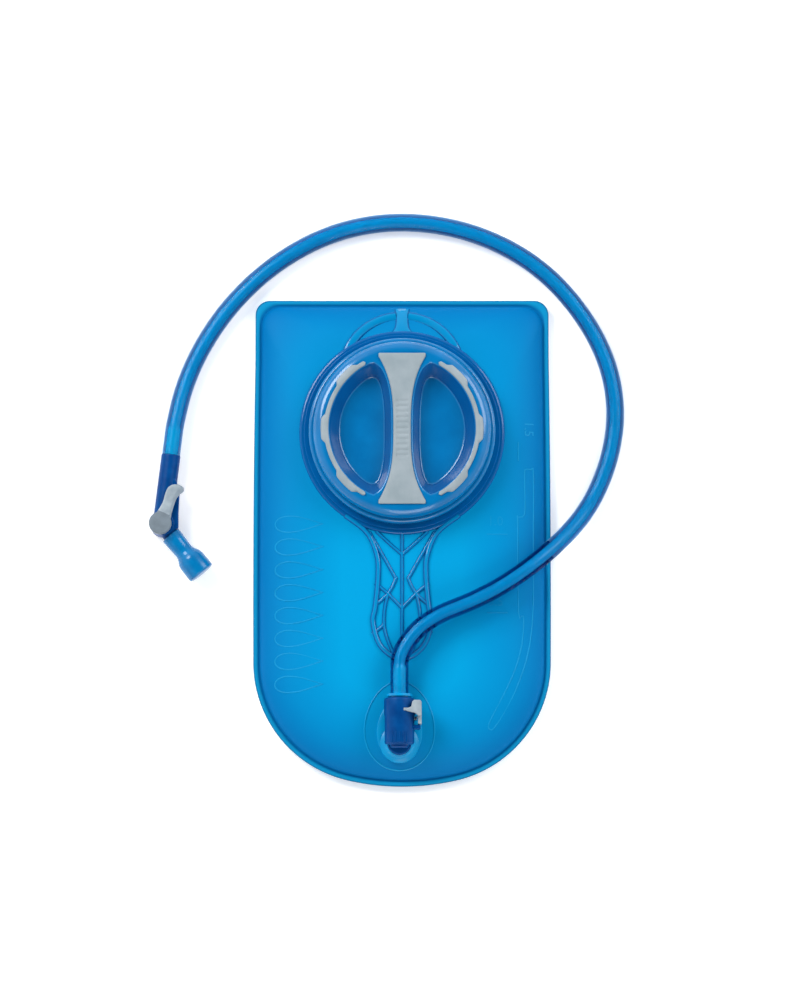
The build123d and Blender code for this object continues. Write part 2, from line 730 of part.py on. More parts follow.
def shutoff_lever():
    """Round head on the spool, with a thumb paddle that widens to a raised tip."""
    bottom = valve_height + barrel_half_height + lever_gap
    head = rod((0, 0, 0), (0, 0, 1), lever_disc_radius, lever_thickness)
    head = fillet(head.edges().sort_by(Axis.Z)[-1], lever_edge)
    neck, tip, neck_end = lever_neck_width / 2, lever_tip_width / 2, lever_reach * lever_neck_share
    plan = Polyline((0, -neck), (neck_end, -neck), (lever_reach, -tip), (lever_reach, tip),
                    (neck_end, neck), (0, neck), close=True)
    paddle = extrude(make_face(plan), amount=paddle_thickness)
    paddle = fillet(paddle.edges().filter_by(Axis.Z).sort_by(Axis.X)[-2:], lever_corner)
    lip = Pos(lever_reach - lip_inset, 0, paddle_thickness) * Box(lip_thickness, lip_width, 2 * lip_rise)
    return Pos(valve_x, valve_y, bottom) * Rot(0, 0, lever_angle) * (head + paddle + lip)


def bite_valve():
    """Soft mouthpiece over the spigot: collar, waist and full head with a slit in its face."""
    bore = spigot_radius + bite_clearance
    room = bite_head_radius - bite_wall
    profile = [
        (bore, bite_start), (bite_collar_radius, bite_start), (bite_waist_radius, bite_waist_end),
        (bite_waist_radius + bite_neck_rise, bite_waist_end + bite_neck_length),
        (bite_head_radius - bite_edge, bite_head_start - bite_shoulder), (bite_head_radius, bite_head_start),
        (bite_head_radius, bite_length - bite_edge), (bite_head_radius - bite_edge, bite_length),
        (0, bite_length), (0, bite_length - bite_face), (room, bite_length - bite_face),
        (room, bite_head_start + bite_shoulder / 2), (bore, bite_head_start - bite_shoulder / 2),
    ]
    outlet = polar(outlet_angle)
    sheath = turned(profile, valve_centre, outlet)
    face_middle = Vector(valve_centre) + outlet * bite_length
    slit = Plane(origin=face_middle, x_dir=polar(outlet_angle + 90), z_dir=outlet) * Box(
        slit_length, slit_width, 3 * bite_face
    )
    return sheath - slit


def main():
    grip_bar = cap_grip_bar()
    grip_right = cap_grip_arc(0)
    grip_left = cap_grip_arc(180)
    nodes = {
        "front_film": front_film(),
        "back_film": back_film(),
        "port_moulding": port_moulding(),
        "fill_port_neck": fill_port_neck(),
        "cap_shell": cap_shell([grip_bar, grip_right, grip_left]),
        "cap_grip_bar": grip_bar,
        "cap_grip_right": grip_right,
        "cap_grip_left": grip_left,
        "cap_gasket": cap_gasket(),
        "outlet_flange": outlet_flange(),
        "coupling_socket": coupling_socket(),
        "release_button": release_button(),
        "button_spring": button_spring(),
        "shutoff_poppet": shutoff_poppet(),
        "poppet_seal": poppet_seal(),
        "poppet_spring": poppet_spring(),
        "hose_plug": hose_plug(),
        "plug_seal": plug_seal(),
        "drinking_hose": drinking_hose(),
        "valve_body": valve_body(),
        "valve_spool": valve_spool(),
        "spool_seals": spool_seals(),
        "shutoff_lever": shutoff_lever(),
        "bite_valve": bite_valve(),
    }
    os.makedirs("parts", exist_ok=True)
    for name, shape in nodes.items():
        export_step(shape, f"parts/{name}.step")


main()
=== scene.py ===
import json
import math

import bmesh
import bpy
from mathutils import Matrix, Vector, noise

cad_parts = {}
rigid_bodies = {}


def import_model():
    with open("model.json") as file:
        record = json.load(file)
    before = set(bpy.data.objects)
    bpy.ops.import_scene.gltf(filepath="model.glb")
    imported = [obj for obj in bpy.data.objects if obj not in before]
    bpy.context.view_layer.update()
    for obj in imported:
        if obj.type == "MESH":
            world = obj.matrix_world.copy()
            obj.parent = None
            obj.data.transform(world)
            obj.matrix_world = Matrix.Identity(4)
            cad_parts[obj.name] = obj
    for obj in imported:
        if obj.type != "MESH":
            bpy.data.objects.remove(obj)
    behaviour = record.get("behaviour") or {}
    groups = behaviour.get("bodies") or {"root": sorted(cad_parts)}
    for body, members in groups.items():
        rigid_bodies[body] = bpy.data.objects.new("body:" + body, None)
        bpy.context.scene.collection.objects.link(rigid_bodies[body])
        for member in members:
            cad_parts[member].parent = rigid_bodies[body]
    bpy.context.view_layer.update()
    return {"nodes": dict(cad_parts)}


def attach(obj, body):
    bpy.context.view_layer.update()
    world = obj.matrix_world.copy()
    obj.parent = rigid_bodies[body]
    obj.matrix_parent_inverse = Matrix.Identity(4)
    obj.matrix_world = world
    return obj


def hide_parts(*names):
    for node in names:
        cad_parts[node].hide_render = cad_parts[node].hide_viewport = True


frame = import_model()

mm = 0.001
print("frame loaded:", len(frame["nodes"]), "parts")


# Colours and nodes

def srgb(code):  # "#rrggbb" to the linear colour that the shaders want
    parts = [int(code[i:i + 2], 16) / 255 for i in (1, 3, 5)]
    return [c / 12.92 if c <= 0.04045 else ((c + 0.055) / 1.055) ** 2.4 for c in parts] + [1.0]


def addNode(tree, kind, inputs=None, links=None, **settings):
    node = tree.nodes.new(kind)
    for name, value in settings.items():
        setattr(node, name, value)
    for name, value in (inputs or {}).items():
        node.inputs[name].default_value = value
    for name, source in (links or {}).items():
        tree.links.new(source, node.inputs[name])
    return node


def ramp(tree, source, stops):
    node = addNode(tree, "ShaderNodeValToRGB", links={"Fac": source})
    elements = node.color_ramp.elements
    while len(elements) < len(stops):
        elements.new(1.0)
    for element, (place, code) in zip(elements, stops):
        element.position = place
        element.color = srgb(code)
    return node


def plainMaterial(name, look):  # a moulded or cast surface: two close tones, fine grain and uneven gloss
    material = bpy.data.materials.new(name)
    material.use_nodes = True
    tree = material.node_tree
    shader = tree.nodes["Principled BSDF"]
    place = addNode(tree, "ShaderNodeTexCoord").outputs["Object"]
    cloud = addNode(tree, "ShaderNodeTexNoise", {"Scale": 1 / (look["cloudMm"] * mm), "Detail": 3.0},
                    {"Vector": place})
    grain = addNode(tree, "ShaderNodeTexNoise", {"Scale": 1 / (look["grainMm"] * mm), "Detail": 2.0},
                    {"Vector": place})
    tone = ramp(tree, cloud.outputs["Fac"], [(0.3, look["dark"]), (0.7, look["light"])])
    spread = {"To Min": look["roughness"] - look["uneven"], "To Max": look["roughness"] + look["uneven"]}
    gloss = addNode(tree, "ShaderNodeMapRange", spread, {"Value": cloud.outputs["Fac"]})
    bump = addNode(tree, "ShaderNodeBump", {"Strength": look["bump"], "Distance": 0.1 * mm},
                   {"Height": grain.outputs["Fac"]})
    tree.links.new(tone.outputs["Color"], shader.inputs["Base Color"])
    tree.links.new(gloss.outputs["Result"], shader.inputs["Roughness"])
    tree.links.new(bump.outputs["Normal"], shader.inputs["Normal"])
    for socket, value in look.get("sockets", {}).items():
        shader.inputs[socket].default_value = value
    return material


# Meshes

def addLoop(bm, points, closed=True):
    verts = [bm.verts.new(Vector(p) * mm) for p in points]
    pairs = list(zip(verts, verts[1:]))
    if closed:
        pairs.append((verts[-1], verts[0]))
    return [bm.edges.new(pair) for pair in pairs]


def loftLoops(bm, loops, capStart=True, capEnd=True):  # a skin over loops with the same number of points
    rings = [addLoop(bm, points) for points in loops]
    for lower, upper in zip(rings, rings[1:]):
        bmesh.ops.bridge_loops(bm, edges=lower + upper)
    for ring, wanted in ((rings[0], capStart), (rings[-1], capEnd)):
        if wanted:
            bmesh.ops.triangle_fill(bm, use_beauty=True, edges=ring)
    return rings


def lathe(bm, profile, steps=128):  # turns (radius, height) points about Z
    verts = [bm.verts.new((r * mm, 0, z * mm)) for r, z in profile]
    edges = [bm.edges.new(pair) for pair in zip(verts, verts[1:])]
    bmesh.ops.spin(bm, geom=verts + edges, cent=(0, 0, 0), axis=(0, 0, 1), angle=2 * math.pi,
                   steps=steps, use_merge=True, use_duplicate=False)
    bmesh.ops.remove_doubles(bm, verts=bm.verts, dist=0.002 * mm)


def arcPoints(centre, radius, start, end, steps=8):
    angles = [math.radians(start + (end - start) * i / steps) for i in range(steps + 1)]
    return [(centre[0] + radius * math.cos(a), centre[1] + radius * math.sin(a)) for a in angles]


def joinPart(bm, part):  # adds a part that was made by itself, and frees it
    mesh = bpy.data.meshes.new("part")
    part.to_mesh(mesh)
    part.free()
    bm.from_mesh(mesh)
    bpy.data.meshes.remove(mesh)


def addPrism(bm, plan, low, high, edge):  # an upright block with rounded edges
    part = bmesh.new()
    ring = addLoop(part, [(x, y, low) for x, y in plan])
    face = bmesh.ops.contextual_create(part, geom=ring)["faces"]
    top = bmesh.ops.extrude_face_region(part, geom=face)["geom"]
    verts = [v for v in top if isinstance(v, bmesh.types.BMVert)]
    bmesh.ops.translate(part, verts=verts, vec=(0, 0, (high - low) * mm))
    bmesh.ops.recalc_face_normals(part, faces=part.faces)
    bmesh.ops.bevel(part, geom=part.edges, offset=edge * mm, affect="EDGES", segments=3, profile=0.5,
                    material=-1)
    joinPart(bm, part)


def standUp(bm, origin, direction):  # turns a mesh made about +Z to lie along a direction from an origin
    turn = Vector((0, 0, 1)).rotation_difference(Vector(direction)).to_matrix().to_4x4()
    bmesh.ops.transform(bm, matrix=Matrix.Translation(Vector(origin) * mm) @ turn, verts=bm.verts)


def makePiece(name, bm, body, material, nodes=(), sharp=35.0):
    bmesh.ops.recalc_face_normals(bm, faces=bm.faces)
    mesh = bpy.data.meshes.new(name)
    bm.to_mesh(mesh)
    bm.free()
    return finishPiece(bpy.data.objects.new(name, mesh), body, material, nodes, sharp)


def finishPiece(piece, body, material, nodes=(), sharp=35.0):
    if piece.name not in bpy.context.scene.collection.objects:
        bpy.context.scene.collection.objects.link(piece)
    piece.data.materials.clear()
    piece.data.materials.append(material)
    if piece.type == "MESH":
        piece.data.shade_smooth()
        piece.data.set_sharp_from_angle(angle=math.radians(sharp))
    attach(piece, body)
    if nodes:
        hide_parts(*nodes)
    return piece


def applyModifiers(piece):
    mesh = bpy.data.meshes.new_from_object(piece.evaluated_get(bpy.context.evaluated_depsgraph_get()))
    piece.modifiers.clear()
    piece.data = mesh


# Materials

# Thermoplastic polyurethane film, extruded and welded: satin. Its colour is painted by distance from the weld.
# It is darker towards the weld, mostly as painted shade of the sloping film and partly as the deeper tint
# where the two films close up. There is a painted highlight on the weld's bead and painted shade in the groove
# inside it
filmShadeLook = {"reach": 70.0,  # mm from the bag's edge at the ramp's far end
            "rim": "#00567c", "beadHighlight": "#0a84b6", "groove": "#00649f", "edge": "#006dac", "mid": "#007fb9",
            "inner": "#008ac2", "centre": "#0094ca", "roughness": 0.5, "uneven": 0.05,
            "grainMm": 0.6, "cloudMm": 18, "bump": 0.05, "specular": 0.04}


def weldedFilm():
    material = bpy.data.materials.new("weldedFilmPaintedShade")
    material.use_nodes = True
    tree = material.node_tree
    shader = tree.nodes["Principled BSDF"]
    inset = addNode(tree, "ShaderNodeAttribute", attribute_name="inset").outputs["Fac"]
    look = filmShadeLook
    reach = look["reach"]
    share = addNode(tree, "ShaderNodeMath", {1: 1 / reach}, {0: inset}, operation="MULTIPLY").outputs["Value"]
    # Painted shade and highlight by distance from the weld: a dark rim, a painted highlight on the bead,
    # painted shade in the groove, then brightening inwards
    tone = ramp(tree, share, [
        (0.0, look["rim"]), (0.7 / reach, look["beadHighlight"]), (2.2 / reach, look["beadHighlight"]),
        (3.0 / reach, look["groove"]), (4.6 / reach, look["edge"]), (20 / reach, look["mid"]),
        (38 / reach, look["inner"]), (52 / reach, look["centre"]),
    ])
    place = addNode(tree, "ShaderNodeTexCoord").outputs["Object"]
    grain = addNode(tree, "ShaderNodeTexNoise", {"Scale": 1 / (look["grainMm"] * mm), "Detail": 2.0},
                    {"Vector": place})
    cloud = addNode(tree, "ShaderNodeTexNoise", {"Scale": 1 / (look["cloudMm"] * mm), "Detail": 4.0},
                    {"Vector": place})
    spread = {"To Min": look["roughness"] - look["uneven"], "To Max": look["roughness"] + look["uneven"]}
    gloss = addNode(tree, "ShaderNodeMapRange", spread, {"Value": cloud.outputs["Fac"]})
    bump = addNode(tree, "ShaderNodeBump", {"Strength": look["bump"], "Distance": 0.1 * mm},
                   {"Height": grain.outputs["Fac"]})
    tree.links.new(tone.outputs["Color"], shader.inputs["Base Color"])
    tree.links.new(gloss.outputs["Result"], shader.inputs["Roughness"])
    tree.links.new(bump.outputs["Normal"], shader.inputs["Normal"])
    shader.inputs["IOR"].default_value = 1.5
    shader.inputs["Specular IOR Level"].default_value = look["specular"]
    return material


# Clear-blue polyurethane, injection moulded and polished: lighter on top, with painted shade darkening each
# rib towards its edges, where clear plastic shows dark lines
clearLook = {"edgeShade": "#005898", "top": "#0084bb", "footMm": 0.5, "topMm": 0.95,  # mm inside a rib's edge
             "roughness": 0.15, "uneven": 0.09, "cloudMm": 12, "specular": 0.1,
             "coat": 0.45, "coatRoughness": 0.05}
# Softer polyurethane, injection moulded, for the flange that is welded on round the outlet
flangeLook = {"dark": "#0088be", "light": "#008fc5", "roughness": 0.3, "uneven": 0.04, "cloudMm": 10,
              "grainMm": 0.6, "bump": 0.05, "sockets": {"IOR": 1.5, "Specular IOR Level": 0.2}}
# The film where a hot die has pressed marks into it: a shade off the film round it, slightly smoother
reliefLook = {"dark": "#0084ba", "light": "#008bc1", "roughness": 0.45, "uneven": 0.04, "cloudMm": 14,
              "grainMm": 0.6, "bump": 0.03, "sockets": {"IOR": 1.5, "Specular IOR Level": 0.12}}
# Polypropylene, injection moulded: the cap, smooth with a soft gloss
capLook = {"dark": "#0067a2", "light": "#0071ae", "roughness": 0.3, "uneven": 0.04, "cloudMm": 16,
           "grainMm": 0.5, "bump": 0.05,
           "sockets": {"IOR": 1.49, "Specular IOR Level": 0.08, "Coat Weight": 0.9, "Coat Roughness": 0.12}}
# The cap's pocket walls: the same plastic, painted darker as the shade inside the pockets
pocketShadeLook = {**capLook, "dark": "#004c8a", "light": "#005494"}
# The neck: the same kind of plastic, coloured darker than the cap
neckLook = {"dark": "#005090", "light": "#005a9a", "roughness": 0.18, "uneven": 0.03, "cloudMm": 12,
            "grainMm": 0.8, "bump": 0.04, "sockets": {"IOR": 1.49, "Specular IOR Level": 0.1}}
# Acetal, injection moulded, for the coupling and the valve: dense colour, waxy gloss
acetalLook = {"dark": "#003a78", "light": "#004686", "roughness": 0.34, "uneven": 0.05, "cloudMm": 6,
              "grainMm": 0.35, "bump": 0.05, "sockets": {"IOR": 1.48, "Specular IOR Level": 0.1}}
# Thermoplastic elastomer, overmoulded and lightly textured: dull, slightly dusty grey
gripLook = {"dark": "#859299", "light": "#929da4", "roughness": 0.5, "uneven": 0.06, "cloudMm": 9,
            "grainMm": 0.3, "bump": 0.2, "sockets": {"IOR": 1.5, "Specular IOR Level": 0.3}}
# Acetal in light grey for the button and the lever, a little glossier than the grips
leverLook = {"dark": "#86929c", "light": "#9ca8b0", "roughness": 0.34, "uneven": 0.05, "cloudMm": 5,
             "grainMm": 0.3, "bump": 0.08, "sockets": {"IOR": 1.48, "Specular IOR Level": 0.35}}
# The lever's hub: the same acetal, left matt by the mould, with its colour painted darker than the paddle's as
# shade on the disc
hubShadeLook = {"dark": "#68737c", "light": "#74808a", "roughness": 0.5, "uneven": 0.05, "cloudMm": 5,
           "grainMm": 0.3, "bump": 0.1, "sockets": {"IOR": 1.48, "Specular IOR Level": 0.2}}
# Silicone rubber, compression moulded: soft gloss, light passes a little way in
siliconeLook = {"dark": "#00649c", "light": "#0074ae", "roughness": 0.25, "uneven": 0.05, "cloudMm": 6,
                "grainMm": 0.5, "bump": 0.04,
                "sockets": {"IOR": 1.42, "Specular IOR Level": 0.1, "Coat Weight": 0.5,
                            "Coat Roughness": 0.14}}
# Polypropylene in the hose's light blue, for the plug on its end
plugLook = {"dark": "#018ac8", "light": "#0297d2", "roughness": 0.2, "uneven": 0.04, "cloudMm": 6,
            "grainMm": 0.5, "bump": 0.04, "sockets": {"IOR": 1.49, "Specular IOR Level": 0.4}}
# Translucent silicone for the seals
sealLook = {"dark": "#b9c6cc", "light": "#cdd8dc", "roughness": 0.4, "uneven": 0.05, "cloudMm": 4,
            "grainMm": 0.4, "bump": 0.1, "sockets": {"IOR": 1.42}}
# Stainless spring wire, drawn: fine bright metal
wireLook = {"dark": "#a9abad", "light": "#c4c6c8", "roughness": 0.25, "uneven": 0.05, "cloudMm": 2,
            "grainMm": 0.2, "bump": 0.1, "sockets": {"Metallic": 1.0}}
# Painted studio table: almost white
floorLook = {"dark": "#f4f5f6", "light": "#f8f8f9", "roughness": 0.6, "uneven": 0.03, "cloudMm": 60,
             "grainMm": 2.0, "bump": 0.02, "sockets": {"Emission Strength": 0.3}}
# The inside of the hose: a light blue lining that shows through the clear wall, painted bright to stand in for
# the light that passes through the clear tube, and partly the tube's own milky tint
paintedLightLiningLook = {"dark": "#00d6f4", "light": "#06def8", "roughness": 0.24, "uneven": 0.05, "cloudMm": 15,
              "grainMm": 1.0, "bump": 0.02}
# The hose's wall: plasticised tube, extruded, clear, and deeper in tint the further one looks through it
wallLook = {"tint": "#00a6d4", "perMetre": 420.0, "roughness": 0.04, "bendsLight": 1.05, "coat": 0.1,
            "coatRoughness": 0.1}


def extrudedTube():
    material = bpy.data.materials.new("extrudedClearTube")
    material.use_nodes = True
    tree = material.node_tree
    shader = tree.nodes["Principled BSDF"]
    shader.inputs["Base Color"].default_value = srgb("#ffffff")
    shader.inputs["Roughness"].default_value = wallLook["roughness"]
    shader.inputs["IOR"].default_value = wallLook["bendsLight"]
    shader.inputs["Transmission Weight"].default_value = 1.0
    shader.inputs["Coat Weight"].default_value = wallLook["coat"]
    shader.inputs["Coat Roughness"].default_value = wallLook["coatRoughness"]
    depth = addNode(tree, "ShaderNodeVolumeAbsorption", {"Color": srgb(wallLook["tint"]),
                                                         "Density": wallLook["perMetre"]})
    tree.links.new(depth.outputs["Volume"], tree.nodes["Material Output"].inputs["Volume"])
    return material


def polishedMoulding():
    material = bpy.data.materials.new("clearPolyurethanePaintedEdgeShade")
    material.use_nodes = True
    tree = material.node_tree
    shader = tree.nodes["Principled BSDF"]
    rise = addNode(tree, "ShaderNodeAttribute", attribute_name="rise").outputs["Fac"]
    look = clearLook
    # Painted shade: each rib's colour goes from dark at its edges to light on its top
    tone = ramp(tree, rise, [(look["footMm"], look["edgeShade"]), (look["topMm"], look["top"])])
    place = addNode(tree, "ShaderNodeTexCoord").outputs["Object"]
    cloud = addNode(tree, "ShaderNodeTexNoise", {"Scale": 1 / (look["cloudMm"] * mm)}, {"Vector": place})
    spread = {"To Min": look["roughness"] - look["uneven"], "To Max": look["roughness"] + look["uneven"]}
    gloss = addNode(tree, "ShaderNodeMapRange", spread, {"Value": cloud.outputs["Fac"]})
    tree.links.new(tone.outputs["Color"], shader.inputs["Base Color"])
    tree.links.new(gloss.outputs["Result"], shader.inputs["Roughness"])
    shader.inputs["IOR"].default_value = 1.5
    shader.inputs["Specular IOR Level"].default_value = look["specular"]
    shader.inputs["Coat Weight"].default_value = look["coat"]
    shader.inputs["Coat Roughness"].default_value = look["coatRoughness"]
    return material


film = weldedFilm()
clearMoulding = polishedMoulding()
flangePlastic = plainMaterial("mouldedPolyurethaneFlange", flangeLook)
reliefFilm = plainMaterial("embossedPolyurethaneFilm", reliefLook)
capPlastic = plainMaterial("mouldedPolypropylene", capLook)
pocketShadePlastic = plainMaterial("mouldedPolypropylenePaintedPocketShade", pocketShadeLook)
neckPlastic = plainMaterial("mouldedDarkPolypropylene", neckLook)
darkAcetal = plainMaterial("mouldedDarkAcetal", acetalLook)
gripRubber = plainMaterial("overmouldedElastomer", gripLook)
greyAcetal = plainMaterial("mouldedGreyAcetal", leverLook)
hubShadeAcetal = plainMaterial("mattAcetalPaintedHubShade", hubShadeLook)
silicone = plainMaterial("mouldedSilicone", siliconeLook)
sealSilicone = plainMaterial("translucentSilicone", sealLook)
springWire = plainMaterial("drawnStainlessWire", wireLook)
floorPaint = plainMaterial("paleTablePaint", floorLook)
paintedLightLining = plainMaterial("milkyLiningPaintedLight", paintedLightLiningLook)
tubeWall = extrudedTube()
plugPlastic = plainMaterial("mouldedPlugPolypropylene", plugLook)
print("materials made")


# The bag's shape, shared by everything that lies on it

bag = {
    "halfWidth": 86.0, "halfHeight": 143.0, "topCorner": 8.5, "softening": 0.8,
    "lowerCorner": 70.0, "bottom": 141.0,
    "seam": 5.0, "seamWidth": 3.6, "rise": 14.0, "run": 42.0, "fullness": 2.4, "roundness": 1.75,
    "barrel": 0.011, "barrelMiddle": -18.0, "barrelReach": 125.0,  # how much the sides swell, about which Y
    "wall": 0.5, "ripple": 0.22, "rippleSize": 26.0, "rippleStart": 4.0, "rippleFade": (10.0, 20.0),
    "deepest": 60.0,
    # (inset, height) from the bag's edge over the weld's bead, of the upper and of the lower film
    "weldTop": [(0, 5.0), (0, 5.4), (0.35, 5.75), (1.0, 6.15), (1.6, 6.25), (2.2, 6.1), (2.8, 5.6),
                (3.2, 5.45)],
    "weldLow": [(0, 5.0), (0, 4.6), (0.35, 4.3), (1.0, 4.0), (1.6, 3.9), (2.2, 4.0), (2.8, 4.35), (3.2, 4.5)],
    "portHole": 47.5, "outletHole": 7.5, "holeDepth": 100.0,
    "rings": 26, "ringCrowding": 1.7,  # rings from the weld inwards, closer together near the weld
}
cornerX = bag["halfWidth"] - bag["lowerCorner"]
cornerSpan = bag["bottom"] - bag["lowerCorner"]
baseY = bag["bottom"] - bag["halfHeight"]
cornerY = baseY - math.sqrt(cornerSpan ** 2 - cornerX ** 2)


def topRadius(inset):
    return min(bag["topCorner"] + bag["softening"] * inset, bag["halfWidth"] - inset - 0.5)


def swell(y):
    return 1 + bag["barrel"] * (1 - min(1, ((y - bag["barrelMiddle"]) / bag["barrelReach"]) ** 2))


def bagOutline(inset, sides=56, ends=40, corners=24):
    halfWidth, top, radius = bag["halfWidth"] - inset, bag["halfHeight"] - inset, topRadius(inset)
    lowRadius, baseRadius = bag["lowerCorner"] - inset, bag["bottom"] - inset
    lean = math.degrees(math.acos(cornerX / cornerSpan))
    right = [((halfWidth - radius) * i / ends, top) for i in range(ends)]
    right += arcPoints((halfWidth - radius, top - radius), radius, 90, 0, corners)[:-1]
    right += [(halfWidth, top - radius + (cornerY - top + radius) * i / sides) for i in range(sides)]
    right += arcPoints((cornerX, cornerY), lowRadius, 0, -lean, corners)[:-1]
    right += arcPoints((0, baseY), baseRadius, -lean, -90, ends)
    left = [(-x, y) for x, y in reversed(right[1:-1])]
    return [(x * swell(y), y) for x, y in right + left]


def outsideBy(x, y, inset):  # how far a point is outside the bag's outline at an inset
    x = abs(x) / swell(y)
    radius = topRadius(inset)
    right, up = x - (bag["halfWidth"] - inset - radius), y - (bag["halfHeight"] - inset - radius)
    upper = math.hypot(right, up) - radius if right > 0 and up > 0 else max(right, up) - radius
    if y > cornerY:
        return upper
    if (x - cornerX) * (cornerY - baseY) > (y - cornerY) * cornerX:  # between the bottom arc's two ends
        return math.hypot(x, y - baseY) - bag["bottom"] + inset
    return math.hypot(x - cornerX, y - cornerY) - bag["lowerCorner"] + inset


def insetAt(x, y):
    low, high = 0.0, bag["deepest"]
    for _ in range(18):
        middle = (low + high) / 2
        if outsideBy(x, y, middle) > 0:
            high = middle
        else:
            low = middle
    return low


def bulge(inset):  # 0 at the weld, 1 where the film lies level
    share = min(1, max(0, (inset - bag["seamWidth"]) / bag["run"]))
    return (1 - (1 - share) ** bag["fullness"]) ** (1 / bag["roundness"])


def filmHeight(x, y):
    return bag["seam"] + bag["wall"] + (bag["rise"] - bag["wall"]) * bulge(insetAt(x, y))


def filmRings(side):  # (inset, height) of each ring of the upper film (1) or the lower (-1), from the edge in
    rings = list(bag["weldTop"] if side > 0 else bag["weldLow"])
    base = bag["seam"] + side * bag["wall"]
    rise = bag["rise"] - bag["wall"] if side > 0 else bag["wall"] - bag["seam"]
    for step in range(bag["rings"] + 1):
        share = (step / bag["rings"]) ** bag["ringCrowding"]
        inset = bag["seamWidth"] + (bag["run"] + 6) * share
        rings.append((inset, base + rise * bulge(inset)))
    return rings + [(bag["deepest"], base + rise)]


def ripple(x, y, inset):  # the slight waves of a welded film, strongest a little way in from the weld
    outer, inner = bag["rippleFade"]
    fadeOut = min(1, max(0, (inset - bag["rippleStart"]) / outer))
    fadeIn = min(1, max(0, (bag["deepest"] - inset) / inner))
    return bag["ripple"] * fadeOut * fadeIn * noise.noise(Vector((x, y, 7.0)) / bag["rippleSize"])


def makeFilm(name, side, node, holes):
    bm = bmesh.new()
    insets = bm.verts.layers.float.new("inset")
    rings = []
    for inset, height in filmRings(side):
        ring = addLoop(bm, [(x, y, height + side * ripple(x, y, inset)) for x, y in bagOutline(inset)])
        for edge in ring:
            for vert in edge.verts:
                vert[insets] = inset
        rings.append(ring)
    for outer, inner in zip(rings, rings[1:]):
        bmesh.ops.bridge_loops(bm, edges=outer + inner)
    bmesh.ops.triangle_fill(bm, use_beauty=True, edges=rings[-1])
    bmesh.ops.recalc_face_normals(bm, faces=bm.faces)
    if (sum((f.normal.z * f.calc_area() for f in bm.faces)) > 0) != (side > 0):
        bmesh.ops.reverse_faces(bm, faces=bm.faces)
    mesh = bpy.data.meshes.new(name)
    bm.to_mesh(mesh)
    bm.free()
    piece = bpy.data.objects.new(name, mesh)
    bpy.context.scene.collection.objects.link(piece)
    wall = piece.modifiers.new("wall", "SOLIDIFY")
    wall.thickness, wall.offset = bag["wall"] * mm, -1
    for centre, radius in holes:
        cutter = bmesh.new()
        bmesh.ops.create_cone(cutter, cap_ends=True, segments=96, radius1=radius * mm, radius2=radius * mm,
                              depth=bag["holeDepth"] * mm, matrix=Matrix.Translation(centre * mm))
        tool = bpy.data.objects.new("hole", bpy.data.meshes.new("hole"))
        cutter.to_mesh(tool.data)
        cutter.free()
        bpy.context.scene.collection.objects.link(tool)
        cut = piece.modifiers.new("cut", "BOOLEAN")
        cut.object, cut.operation, cut.solver = tool, "DIFFERENCE", "EXACT"
    applyModifiers(piece)
    for tool in [o for o in bpy.data.objects if o.name.startswith("hole")]:
        bpy.data.objects.remove(tool)
    finishPiece(piece, "bag", film, [node], sharp=60)


portCentre = Vector((0, 63, 0))
outletCentre = Vector((-1.5, -119, 0))
makeFilm("frontFilm", 1, "front_film", [(portCentre, bag["portHole"]), (outletCentre, bag["outletHole"])])
makeFilm("backFilm", -1, "back_film", [])
print("films made")


# Raised ribs that lie on the film: the handle, the hanging bands and the marks

def smoothPath(points, closed=False, steps=6):  # Catmull-Rom through the points
    count = len(points)
    found = []
    for i in range(count if closed else count - 1):
        if closed:
            a, b, c, d = (Vector((*points[(i + k) % count], 0)) for k in (-1, 0, 1, 2))
        else:
            a, b, c, d = (Vector((*points[min(max(i + k, 0), count - 1)], 0)) for k in (-1, 0, 1, 2))
        for step in range(steps):
            t = step / steps
            found.append(0.5 * (2 * b + (c - a) * t + (2 * a - 5 * b + 4 * c - d) * t * t
                                + (3 * b - a - 3 * c + d) * t ** 3))
    return found if closed else found + [Vector((*points[-1], 0))]


def addRib(bm, path, width, height, closed=False, sink=0.4, sections=8):  # width may be one for each point
    widths = width if isinstance(width, list) else [width] * len(path)
    rise = bm.verts.layers.float.get("rise") or bm.verts.layers.float.new("rise")
    start = len(bm.verts)
    loops = []
    count = len(path)
    for i, point in enumerate(path):
        before = path[(i - 1) % count] if closed else path[max(i - 1, 0)]
        after = path[(i + 1) % count] if closed else path[min(i + 1, count - 1)]
        along = (after - before).normalized()
        across = Vector((-along.y, along.x, 0))
        base = filmHeight(point.x, point.y)
        loop = []
        for step in range(sections + 1):
            turn = math.pi * step / sections
            side = point + across * (widths[i] / 2 * math.cos(turn))
            loop.append((side.x, side.y, base - sink + (height + sink) * max(0, math.sin(turn)) ** 0.55))
        loops.append(loop)
    if closed:
        rings = [addLoop(bm, loop) for loop in loops]
        for one, two in zip(rings, rings[1:] + rings[:1]):
            bmesh.ops.bridge_loops(bm, edges=one + two)
    else:
        loftLoops(bm, loops)
    bm.verts.ensure_lookup_table()
    # Each vertex's rise is the mask from which the clear moulding's material paints shade on the rib's edges
    for i, vert in enumerate(bm.verts[start:]):  # how far inside the rib's edge, in mm
        turn = math.pi * (i % (sections + 1)) / sections
        vert[rise] = widths[min(i // (sections + 1), len(widths) - 1)] / 2 * (1 - abs(math.cos(turn)))


